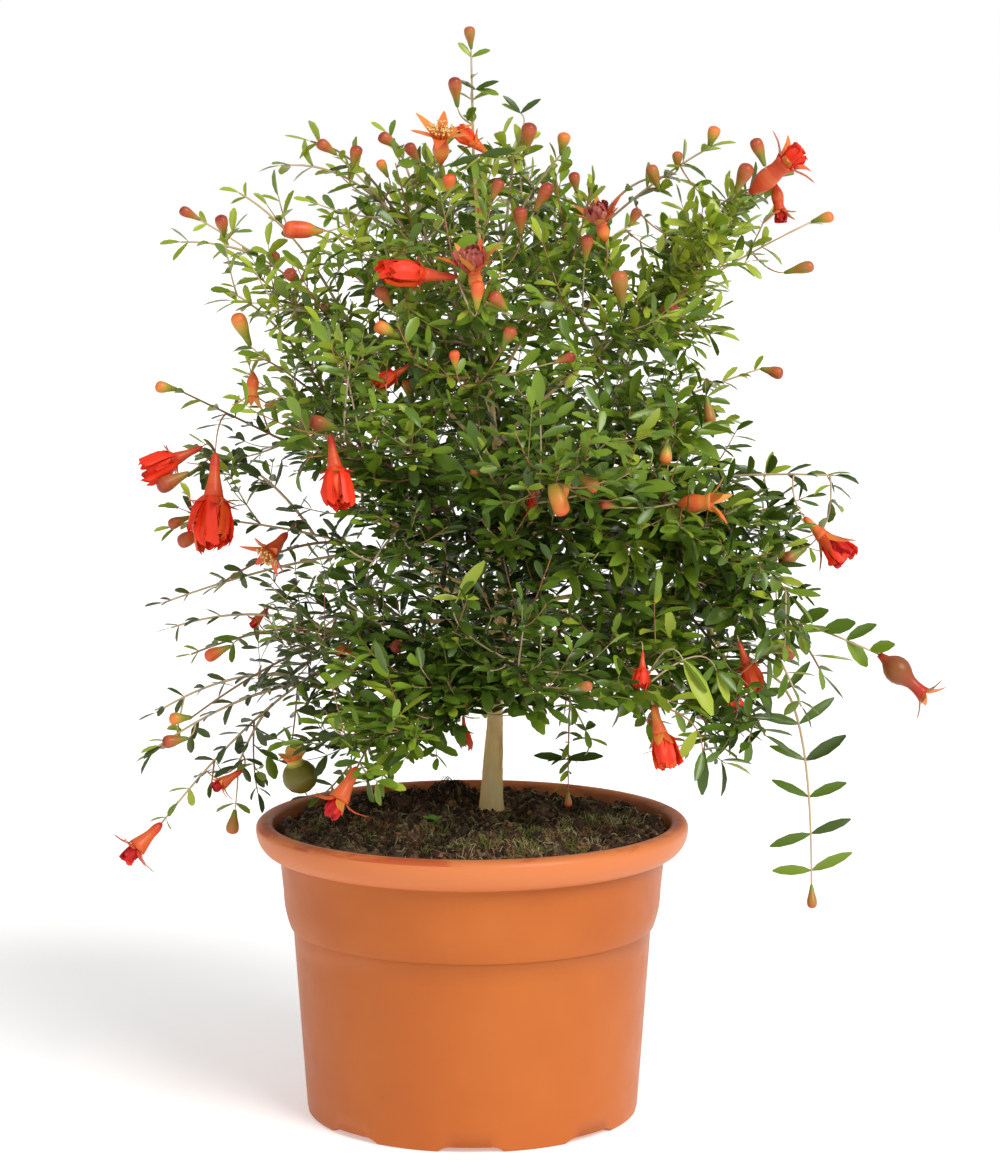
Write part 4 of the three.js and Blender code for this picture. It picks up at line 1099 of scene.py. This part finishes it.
class Spray:
    """What the leaves of one shoot share: their size, colour, limb and chance."""

    def __init__(self, path, limb, rng):
        middle = path.at(0.5)
        right = right_below(middle, RIGHT_CORNER)
        wanted = LARGE_SPRAYS_RIGHT if right else LARGE_SPRAYS
        large = right_below(middle, LARGE_SPRAY_CORNER) and rng.random() < wanted
        light = min(1.0, light_at(middle))
        slim = LARGE_LEAF_SLIMNESS if large else LEAF_SLIMNESS + SLIMNESS_GAIN * light
        self.large, self.limb, self.rng, self.angle = large, limb, rng, LEAF_ANGLE
        self.length = (LARGE_LEAF_LENGTH if large else LEAF_LENGTH) * rng.uniform(0.78, 1.18)
        self.length *= 1.0 + LEAF_GAIN_HIGH * rise_between(middle[2], 350.0, 410.0)
        self.slim = slim * rng.uniform(0.85, 1.15)
        self.tilt = LEAF_TILT + LEAF_TILT_GAIN * light + (LEAF_TILT_RIGHT if right else 0.0)
        self.unrest = LEAF_UNREST + LEAF_UNREST_GAIN * light
        self.level = LEAF_LEVEL + LEVEL_GAIN_HIGH * rise_between(middle[2], 330.0, 440.0)
        self.slot = tone_for(path.at(0.6), rng, large)
        self.tip_slot = tone_for(path.at(1.0), rng, True)
        self.curl = rng.uniform(-0.05, 0.2)

    def widen(self, length, slim, angle):
        """Larger dark leaves that all face the front."""
        self.large, self.length, self.slim, self.angle = True, length, slim, angle
        self.slot, self.tip_slot = MIDDLE, BRIGHT
        self.tilt, self.unrest, self.level = None, 0.2, 1.0

    def leaf(self, point, direction, share):
        """A leaf that leaves its twig along a direction, its face up and outward, or to the
        front."""
        rng, front = self.rng, self.tilt is None
        outward = unit(np.array([point[0] - 8.0, point[1] - 4.0, 0.0]))
        face = np.array([0.0, -1.0, 0.5]) if front else UP + self.tilt * outward
        face = unit(face + [rng.gauss(0, self.unrest), rng.gauss(0, self.unrest), 0.0])
        sway = [rng.gauss(0, 0.12), rng.gauss(0, 0.12), rng.gauss(-0.03, 0.12)]
        direction = unit((direction + sway) * [1.0, 1.0, self.level])
        length = self.length * (1.0 if front else 0.62 + 1.3 * share * (1.15 - share))
        length *= rng.uniform(0.85, 1.12)
        slot, pick = self.tip_slot if share > 0.8 else self.slot, rng.random()
        if slot <= YOUNG_PAINTED_LIT:
            slot += (pick > 1.0 - PALER_LEAVES) - (pick < DARKER_LEAVES)
            slot = int(np.clip(slot, SHADE, YOUNG_PAINTED_LIT))
        LEAVES.append((point, direction, face, length, length * self.slim * rng.uniform(0.85, 1.15),
                       self.curl + rng.uniform(-0.08, 0.1), rng.uniform(0.15, 0.6), slot,
                       self.limb, self.large))

    def pair(self, path, share, turn):
        """Two leaves that stand opposite each other."""
        point, along = path.at(share), path.heading(share)
        for side in (0.0, math.pi):
            if self.rng.random() < MISSING_LEAVES:
                continue
            spread = self.angle * self.rng.uniform(0.7, 1.2)
            aside = across(along, turn + side)
            self.leaf(point, along * math.cos(spread) + aside * math.sin(spread), share)


def leafy(path, limb, rng, spacing, chance, wide=None):
    """Leaf pairs at the nodes of a shoot, each pair crosswise to the last, and one leaf on top."""
    spray = Spray(path, limb, rng)
    if wide:
        length, slim, spacing, angle = wide
        spray.widen(length, slim, angle)
    count = max(2, int(path.length / spacing))
    for node in range(count):
        share = (node + 0.6) / count
        turn = node * math.pi / 2 + rng.gauss(0, 0.25)
        if wide:
            turn = min((0.0, math.pi / 2), key=lambda t: abs(across(path.heading(share), t)[1]))
        if rng.random() < chance:
            spray.pair(path, share, turn)
    spray.leaf(path.at(1.0), path.heading(1.0), 0.85)
    return count


def shoot_at(path, share, node, length, rng):
    """A finer shoot at a node, by the same rule as the side twigs of the solids."""
    along, start = path.heading(share), path.at(share)
    turn = node * GOLDEN_ANGLE + rng.gauss(0, 0.3)
    angle = SHOOT_ANGLE * rng.uniform(0.75, 1.1)
    direction = unit(along * math.cos(angle) + across(along, turn) * math.sin(angle))
    sway = [rng.gauss(0, 0.07), rng.gauss(0, 0.07), rng.gauss(0, 0.07)]
    knee = start + direction * length / 2
    tip = start + (direction + UP * SHOOT_LIFT + sway) * length
    ragged = rng.uniform(-1.6, 0.7) * RAGGED
    inside = in_crown(knee, ragged) and in_crown(tip, ragged)
    return arch(start, knee, tip, 8) if inside else None


def grow_shoot(path, order, limb, rng, leafiness):
    """Leaves on a shoot, finer shoots at its nodes, and now and then a bud on top."""
    spacing, _, _, _, chance, length = SHOOT_RULES[order]
    wide = WIDE_LEAFING.get(limb.name) if path is limb.stem else None
    spacing *= 1.0 + OPEN_SPACING * (1.0 - openness(path.at(0.6)))
    count = leafy(path, limb.name, rng, spacing, 1.0 if wide else min(1.0, 0.6 + 0.4 * leafiness),
                  wide)
    if chance is None:
        return
    if wide:
        count = int(path.length / spacing)
    for node in range(count):
        share = (node + 0.6) / count
        if wide and share > 0.3:
            break
        if rng.random() > chance * min(1.0, leafiness) * openness(path.at(share)):
            continue
        full = length * (1 - 0.5 * share) * rng.uniform(0.6, 1.3)
        shoot = (shoot_at(path, share, node, full * (0.75 + 0.25 * leafiness), rng)
                 or shoot_at(path, share, node + 1, full * 0.5, rng))
        if shoot is None:
            continue
        TWIGS[order + 1].append((shoot.points, rng.random()))
        grow_shoot(shoot, order + 1, limb, rng, leafiness)
        end = shoot.at(1.0)
        apart = min(math.hypot(end[0] - row[1][0], end[2] - row[1][2]) for row in BLOSSOM_ROWS)
        if (order == 0 and light_at(end) > 0.55 and apart > BUD_CLEARANCE
                and rng.random() < BUD_CHANCE):
            way = unit(shoot.heading(1.0) + [0, 0, rng.uniform(-0.7, 0.3)])
            BLOOMS.append(("bud", end, way, rng.uniform(8.0, 13.0), False))


def grow_stem(path, limb, rng, leafiness):
    """A stem with all that grows on it. It gives its path and the name of its limb."""
    TWIGS[0].append((path.part(0.0, 1.0, 16).points, rng.random()))
    grow_shoot(path, 0, limb, rng, leafiness)
    return path, limb.name


def fork(row, seed):
    """A lesser limb that forks from another, grown like a stem."""
    parent, share, x, y, z, rise, leafiness = row
    limb = [one for one in LIMB_LIST if one.name == parent][0]
    start, end = limb.whole.at(share), np.array([x, y, z], float)
    knee = bend(start, end, 0.45, start[2] * 0.5 + end[2] * 0.5 + rise)
    return grow_stem(arch(start, knee, end, 60), limb, random.Random(seed), leafiness)


def front_way(angle, foot, kind):
    """The way a bloom points: its angle in the front view, and more or less toward the outside."""
    turn, outward = math.radians(angle), FACING.get(kind, USUAL_FACING)
    return unit(np.array([math.cos(turn), outward if foot[1] > 40.0 else -outward, math.sin(turn)]))


def grow_blossom(wood):
    """Shoots that carry the blossom rows, each from the nearest wood that is already there."""
    rng = random.Random(77)
    points = np.concatenate([path.points for path, _ in wood])
    limbs = np.concatenate([[name] * len(path.points) for path, name in wood])
    feet = set()
    for kind, place, length, angle in BLOSSOM_ROWS:
        foot, lone = np.array(place, float), kind in LONE_LEAVES
        way = front_way(angle, foot, kind)
        away = points - foot
        far = np.linalg.norm(away, axis=1)
        cost = far + 12.0 * (away @ way) / np.maximum(far, 1.0) + np.where(far < 7.0, 100.0, 0.0)
        best = int(np.argmin(cost))
        knee = foot - way * 0.45 * np.linalg.norm(foot - points[best]) + UP * 2.0
        shoot = arch(points[best], knee, foot, 12)
        if place not in feet:
            TWIGS[1].append((shoot.points, rng.random()))
            leafy(shoot, limbs[best], rng, 6.5, 0.3 if lone else 0.35 + 0.5 * openness(foot))
        feet.add(place)
        if lone:
            face = unit(np.array([0.1, -1.0, 0.8]))
            LEAVES.append((foot, way, face, length, 0.3 * length, 0.1, 0.35, LONE_LEAVES[kind],
                           limbs[best], True))
        else:
            BLOOMS.append((kind, foot, way, length, True))


def grow_all():
    """The stems of the limbs in turn, then the lesser limbs, then the placed blossom."""
    wood = []
    for limb in LIMB_LIST:
        wood.append(grow_stem(limb.stem, limb, limb.rng, limb.leafiness))
        if limb.bears in TIP_LENGTHS:
            tip = limb.stem.at(1.0)
            way = front_way(limb.angle, tip, limb.bears)
            BLOOMS.append((limb.bears, tip, way, TIP_LENGTHS[limb.bears], True))
    wood += [fork(row, 900 + 17 * index) for index, row in enumerate(SIDE_LIMBS)]
    grow_blossom(wood)


def bars_to_clear():
    """Straight bars (start, end, radius) that leaves keep off: wood, and blossom with the room in
    front of it."""
    bars = []
    for path, radius_at in [(TRUNK, trunk_radius)] + [
            (limb.bough, lambda share, limb=limb: limb.base_radius) for limb in BOUGHS]:
        line = path.at(np.linspace(0.0, 1.0, 12))
        bars += [(line[k], line[k + 1], radius_at(k / 11)) for k in range(11)]
    for kind, foot, way, size, placed in BLOOMS:
        if kind != "bud":
            bars.append((foot + way * 0.2 * size, foot + way * 0.8 * size, 0.16 * size))
        if placed and foot[1] < 30.0:
            middle = foot + way * 0.55 * size
            bars.append((middle, middle + [0.0, -46.0, 6.0], 0.3 * size))
    return bars


def sift_leaves():
    """Drops the leaves that would run into the pot, the wood or blossom, or past the solids' box,
    or hide the trunk's foot."""
    root, direction = (np.array([row[k] for row in LEAVES]) for k in (0, 1))
    length = np.array([row[3] for row in LEAVES])[:, None]
    keep = np.ones(len(LEAVES), bool)
    low, high = (np.array(corner) / MM for corner in CAD_BOX)
    bars = bars_to_clear()
    for share in (0.4, 0.7, 1.0):
        point = root + direction * length * share
        x, y, z = point.T
        keep &= ~((np.abs(x - 12.0) < 12.0) & (y < 0.0) & (z < 188.0 - FOOT_SLOPE * y))
        keep &= (z > POT_HEIGHT + 1.5) | (np.hypot(x, y) > RIM_RADIUS + 2.0)
        keep &= ((point > low - 4.0) & (point < high + 4.0)).all(axis=1)
        for start, end, thick in bars:
            span = end - start
            t = np.clip((point - start) @ span / (span @ span), 0.0, 1.0)[:, None]
            keep &= np.linalg.norm(point - start - span * t, axis=1) > thick + 0.8
    LEAVES[:] = [row for row, kept in zip(LEAVES, keep) if kept]


def make_twigs():
    """Stems, shoots and fine shoots, each tapering, joined in one piece."""
    batch = Batch()
    for rows, rule, tones in zip(TWIGS, SHOOT_RULES, SHOOT_TONES):
        _, foot, tip, sides, _, _ = rule
        for steps in dict.fromkeys(len(points) for points, _ in rows):
            members = [row for row in rows if len(row[0]) == steps]
            radii = np.linspace(foot, tip, steps)[None].repeat(len(members), 0)
            slots = [tones[int(pick >= FIRST_TONE_SHARE)] for _, pick in members]
            batch.tubes([points for points, _ in members], radii, sides, slots)
    ride(batch.piece("twigs", plain_set(WOOD_TONES, 0.65)), "bark")


def make_leaves():
    """The leaves in pieces by side of the crown. Together they stand for the foliage nodes."""
    groups = {"leaves_front_low": [], "leaves_front": [], "leaves_back": [], "leaves_top": [],
              "leaves_left": [], "leaves_right": []}
    for name in LIMBS:
        side = [key for key in groups if key.removeprefix("leaves_") in name] or ["leaves_top"]
        if "front" in name:
            side = ["leaves_front_low" if "low" in name or "middle" in name else "leaves_front"]
        groups[side[0]].append(name)
    materials = plain_set(LEAF_TONES, 0.3, 0.42)
    for name, limbs in groups.items():
        batch = Batch()
        for blade, large in ((LEAF, False), (LARGE_LEAF, True)):
            blade.place(batch, [row for row in LEAVES if row[8] in limbs and row[9] == large],
                        LEAF_THICKNESS)
        ride(batch.piece(name, materials), "foliage", *["foliage_" + limb for limb in limbs])


# ---------------------------------------------------------------- blossom, buds and fruit

# Outlines from foot to tip or mouth and back inside: shares of the length and of the radius
BUD = [(0.0, 0.0), (0.0, 0.24), (0.07, 0.34), (0.15, 0.42), (0.24, 0.49), (0.33, 0.58),
       (0.42, 0.70), (0.51, 0.82), (0.60, 0.92), (0.69, 0.98), (0.77, 1.0), (0.85, 0.95),
       (0.91, 0.84), (0.96, 0.62), (0.99, 0.32), (1.0, 0.0)]
LONG_BUD = [(0.0, 0.0), (0.0, 0.2), (0.08, 0.34), (0.16, 0.5), (0.25, 0.68), (0.34, 0.84),
            (0.44, 0.94), (0.54, 0.99), (0.64, 1.0), (0.74, 1.0), (0.82, 0.97), (0.89, 0.88),
            (0.94, 0.74), (0.975, 0.5), (0.99, 0.28), (1.0, 0.0)]
CUP = [(0.0, 0.0), (0.0, 0.2), (0.08, 0.36), (0.18, 0.47), (0.3, 0.5), (0.42, 0.51), (0.55, 0.59),
       (0.7, 0.73), (0.85, 0.88), (1.0, 1.0), (1.0, 0.88), (0.74, 0.6), (0.6, 0.0)]
VASE = [(0.0, 0.0), (0.0, 0.22), (0.1, 0.4), (0.22, 0.66), (0.36, 0.82), (0.5, 0.86), (0.64, 0.78),
        (0.76, 0.7), (0.88, 0.76), (1.0, 1.0), (1.0, 0.86), (0.8, 0.5), (0.66, 0.0)]
SWOLLEN = [(0.0, 0.0), (0.0, 0.22), (0.06, 0.30), (0.11, 0.40), (0.15, 0.62), (0.2, 0.85),
           (0.27, 1.0), (0.35, 1.0), (0.42, 0.84), (0.48, 0.62), (0.54, 0.48), (0.61, 0.45),
           (0.69, 0.5), (0.76, 0.62), (0.76, 0.5), (0.62, 0.2), (0.6, 0.0)]
FRUIT = [(0.0, 0.0), (0.0, 0.08), (0.05, 0.45), (0.14, 0.75), (0.27, 0.95), (0.4, 1.0),
         (0.53, 0.94), (0.65, 0.76), (0.72, 0.56), (0.76, 0.46), (0.82, 0.45), (0.88, 0.54),
         (0.88, 0.44), (0.8, 0.2), (0.78, 0.0)]
BUD_TONES = [
    (OLIVE, OLIVE, BRONZE, COPPER, COPPER, BRICK, BRICK),
    (OLIVE, OLIVE, BRONZE, COPPER, BRICK, WINE),
    (GREEN, GREEN, LIME, GOLD, APRICOT, ORANGE, CORAL),
    (OLIVE, OLIVE, BRONZE, BRONZE, COPPER, COPPER),
    (OLIVE, OLIVE, OLIVE, BRONZE, COPPER, BRICK, BRICK),
    (GREEN, LIME, GOLD, ORANGE, CORAL, CORAL, RED),
    (OLIVE, BRONZE, COPPER, BRICK, WINE)]
LONG_BUD_TONES = [(GREEN, LIME, GOLD, AMBER, APRICOT, ORANGE, CORAL, CORAL),
                  (GOLD, AMBER, ORANGE, CORAL, VERMILION, CORAL, VERMILION, CORAL)]
SWOLLEN_TONES = (DEEP_RED, MAROON, RUST, TAN, TAN, TAN, RUST, MAROON, DEEP_RED, MAROON, RUST)
RED_CUP = (VERMILION, RED, RED, VERMILION, CORAL, VERMILION, VERMILION, RED, RED)
ORANGE_CUP = (RED, CORAL, ORANGE, APRICOT, ORANGE, CORAL, CORAL, APRICOT, AMBER)
# Open blooms: the mouth's radius and the calyx's depth as shares of the length, its outline and
# tones, its lobes (along, length, flare, curl, tones, count, width), and its laps of petals
# (along, radius, length, width, flare, close, tones, count)
OPEN_BLOOMS = {
    # Round crumpled petals that hang together under a red calyx
    "bell": (0.125, 0.53, CUP, RED_CUP, (0.92, 0.24, 0.8, 0.5, (VERMILION, CORAL, RED), 6, 1.0), [
        (0.92 - 0.03 * lap, 0.75 - 0.18 * lap, reach, 0.27, 0.82 - 0.2 * lap, 0.86 - 0.2 * lap,
         (SCARLET, SCARLET, SCARLET, ORANGE_RED), count)
        for lap, (reach, count) in enumerate(((0.47, 8), (0.4606, 7), (0.4418, 5)))]),
    # Broad calyx lobes that lie on closed petals
    "lantern": (0.125, 0.46, CUP, ORANGE_CUP,
                (0.92, 0.26, 0.45, 0.3, (ORANGE, APRICOT, CORAL), 6, 1.4),
                [(0.9, radius, 0.52, 0.27, flare, close, (ORANGE_RED, SCARLET), 6)
                 for radius, flare, close in ((0.65, 0.48, 0.42), (0.45, 0.28, 0.27))]),
    # A long calyx whose lobes run down the petals and curl at their tips
    "trumpet": (0.12, 0.42, CUP, RED_CUP,
                (0.92, 0.42, 0.38, 0.28, (VERMILION, CORAL, ORANGE), 6, 1.4),
                [(0.85, 0.5, 0.56, 0.28, 0.36, 0.1, (SCARLET, ORANGE_RED, CRIMSON), 7)]),
    # Thick fingers that curl back round a crimson tuft
    "curled": (0.175, 0.6, CUP, (RED, RED, VERMILION, CORAL, CORAL, CORAL, CORAL, RED),
               (0.9, 0.34, 0.75, 0.7, (APRICOT, CORAL, VERMILION), 5, 1.05),
               [(0.85, 0.5, 0.36, 0.2, 0.24, 0.2, (CRIMSON, CRIMSON, SCARLET), 6)]),
    # A fat red calyx with pale lobes round a crimson tuft
    "flask": (0.165, 0.62, VASE,
              (RED, VERMILION, VERMILION, CORAL, VERMILION, VERMILION, RED, RED),
              (0.9, 0.36, 0.75, 0.4, (APRICOT, ORANGE, CORAL), 5, 1.1),
              [(0.9, 0.5, 0.3, 0.2, 0.3, 0.2, (CRIMSON, SCARLET), 6)]),
    # A calyx that has dropped its petals, with pale tips
    "spent": (0.2, 0.66, VASE, (CORAL, ORANGE, CORAL, CORAL, ORANGE, APRICOT, CORAL, RED),
              (0.9, 0.42, 0.6, 0.35, (AMBER, APRICOT, ORANGE), 5, 0.9), []),
    # Broad lobes spread wide round a tuft of stamens, on a fat orange calyx or a slim red one
    "star": (0.19, 0.6, VASE, ORANGE_CUP,
             (0.92, 0.48, 1.15, 0.1, (CORAL, ORANGE, APRICOT), 6, 1.25), []),
    "slim star": (0.19, 0.6, CUP, RED_CUP,
                  (0.92, 0.48, 1.15, 0.1, (VERMILION, CORAL, CORAL), 6, 1.25), []),
    # Shrivelled dull petals over a fat calyx with pale lobes
    "withered": (0.17, 0.5, VASE, ORANGE_CUP,
                 (0.92, 0.62, 0.75, 0.1, (CORAL, APRICOT, APRICOT), 6, 1.4),
                 [(0.85, 0.6, 0.42, 0.22, flare, 0.5, (WITHERED, FADED, FADED), 7)
                  for flare in (0.95, 0.45)])}

CALYXES, PETALS, STAMENS, FRUITS = Batch(), Batch(), Batch(), Batch()
SEPAL_ROWS, PETAL_ROWS = [], []
BLOOM_RNG = random.Random(909)


def steps_between(marks, count):
    """Calyx tones for a run of bands, stepping evenly through a few marks."""
    places = np.linspace(0, len(marks) - 1, count)
    return [int(round(step)) for step in np.interp(places, np.arange(len(marks)), marks)]


def add_body(foot, axis, outline, length, radius, sides, marks, sag=0.0, batch=CALYXES):
    """A closed turned body on an axis, coloured in bands. It may sag toward its tip."""
    spokes = np.array([across(axis, k * TURN / sides) for k in range(sides)])
    reach = max(along for along, _ in outline)
    rings = np.array([
        foot + axis * along * length - UP * sag * (along / reach) ** 2 + spokes * wide * radius
        for along, wide in outline])
    slots = marks if batch is FRUITS else steps_between(marks, len(outline) - 1)
    batch.skin(rings[1:-1], [rings[0, 0], rings[-1, 0]], slots)


def blades_round(foot, axis, radius, flare, spread, count):
    """Where the lobes or petals of a ring stand: point, direction and outward way of each."""
    turn = BLOOM_RNG.random()
    for k in range(count):
        outward = across(axis, turn + k * TURN / count)
        tilt = flare * BLOOM_RNG.uniform(*spread)
        yield (foot + outward * radius, axis * math.cos(tilt) + outward * math.sin(tilt), outward)


def add_sepals(foot, axis, radius, length, flare, curl, tones, count=6, wide=1.4):
    """Pointed fleshy lobes round the mouth of a calyx."""
    uniform = BLOOM_RNG.uniform
    for point, direction, outward in blades_round(foot, axis, radius, flare, (0.75, 1.2), count):
        SEPAL_ROWS.append((
            point - outward * 0.2, direction, outward, length * uniform(0.85, 1.15),
            radius * wide, -curl * uniform(0.5, 1.4), -0.25, BLOOM_RNG.choice(tones)))


def add_petals(foot, axis, radius, length, width, flare, close, tones, count):
    """Crumpled petals that swell from the mouth and close in again."""
    uniform = BLOOM_RNG.uniform
    for point, direction, outward in blades_round(foot, axis, radius, flare, (0.7, 1.25), count):
        PETAL_ROWS.append((
            point, direction, -outward, length * uniform(0.85, 1.12), width * uniform(0.85, 1.15),
            -close * uniform(0.7, 1.3), 0.35, BLOOM_RNG.choice(tones)))


def add_stamens(foot, axis, radius, length, count):
    """A tuft of threads, each with a pale bead on top."""
    bead = np.array([(1, 0, 0), (0, 1, 0), (-1, 0, 0), (0, -1, 0), (0, 0, 1), (0, 0, -1)], float)
    faces = [(k, (k + 1) % 4, 4, -1) for k in range(4)]
    faces += [((k + 1) % 4, k, 5, -1) for k in range(4)]
    paths = []
    for _ in range(count):
        outward = across(axis, BLOOM_RNG.random() * TURN)
        spread = math.sqrt(BLOOM_RNG.random())
        start = foot + outward * radius * 0.5 * spread
        knee = start + axis * length * 0.6 + outward * radius * 0.3 * spread
        tip = start + axis * length * BLOOM_RNG.uniform(0.8, 1.1) + outward * radius * spread
        paths.append(arch(start, knee, tip, 4).points)
        STAMENS.add([tip + bead * BLOOM_RNG.uniform(0.5, 0.75)], faces, CREAM)
    STAMENS.tubes(paths, np.full((count, 4), 0.16), 3, THREAD)


def add_open_bloom(kind, foot, axis, length):
    """A hollow calyx with its lobes, and petals or stamens."""
    mouth, depth, outline, marks, lobes, laps = OPEN_BLOOMS[kind]
    mouth, depth = mouth * length, depth * length
    if kind == "trumpet" and BLOOM_RNG.random() >= 0.5:
        marks = ORANGE_CUP
    add_body(foot, axis, outline, depth, mouth, 12, marks)
    radius, reach, flare, curl, tones, count, wide = lobes
    add_sepals(foot + axis * depth, axis, mouth * radius, reach * length, flare, curl, tones,
               count, wide)
    for along, radius, reach, wide, flare, close, tones, count in laps:
        add_petals(foot + axis * depth * along, axis, mouth * radius, reach * length,
                   wide * length, flare, close, tones, count)
    if "star" in kind:
        add_stamens(foot + axis * depth * 0.7, axis, mouth * 0.9, 0.36 * length, 56)


def add_bloom(kind, foot, axis, length):
    """A bud, an open bloom, a calyx whose foot has swollen, or a young fruit under its crown."""
    if kind == "bud":
        girth = BLOOM_RNG.uniform(0.225, 0.28) * (1.0 if length < 13.0 else 0.9)
        add_body(foot, axis, BUD, length, girth * length, 10, BLOOM_RNG.choice(BUD_TONES),
                 0.04 * length)
    elif kind == "long bud":
        add_body(foot, axis, LONG_BUD, length, 0.22 * length, 12,
                 LONG_BUD_TONES[int(foot[2] > 350.0)], 0.04 * length)
    elif kind == "swollen":
        girth = 0.175 * length
        add_body(foot, axis, SWOLLEN, length, girth, 14, SWOLLEN_TONES, 1.5)
        add_sepals(foot - UP * 1.4 + axis * 0.73 * length, axis, girth * 0.5, 0.26 * length, 0.75,
                   0.45, (APRICOT, ORANGE, AMBER), 5)
    elif kind == "fruit":
        girth = 0.4 * length
        add_body(foot, axis, FRUIT, length, girth, 18,
                 [FRUIT_BROWN] * 5 + [FRUIT_OLIVE] * 3 + [LIME, GOLD, GOLD, AMBER, AMBER, AMBER],
                 batch=FRUITS)
        add_sepals(foot + axis * 0.87 * length, axis, girth * 0.5, 0.2 * length, 0.7, 0.0,
                   (GOLD, AMBER, CORAL))
    else:
        add_open_bloom(kind, foot, axis, length)


def make_blossom():
    """Calyxes and buds, petals, stamens and the young fruit, each kind joined in one piece."""
    for kind, foot, way, length, _ in BLOOMS:
        add_bloom(kind, foot, way, length)
    SEPAL.place(CALYXES, SEPAL_ROWS, 0.75)
    PETAL.place(PETALS, PETAL_ROWS, 0.16, 0.12, 4)
    for name, batch, slot, roughness in (
            ("calyxes_and_buds", CALYXES, "calyx", 0.38), ("petals", PETALS, "petal", 0.5),
            ("stamens", STAMENS, "petal", 0.6), ("young_fruit", FRUITS, "calyx", 0.35)):
        ride(batch.piece(name, plain_set(BLOOM_TONES, roughness)), slot)


# ---------------------------------------------------------------- the whole

set_studio()
make_pot()
strew_clods(make_soil())
make_moss(random.Random(5))
make_litter(random.Random(6))
make_wood()
grow_all()
sift_leaves()
make_twigs()
make_leaves()
make_blossom()
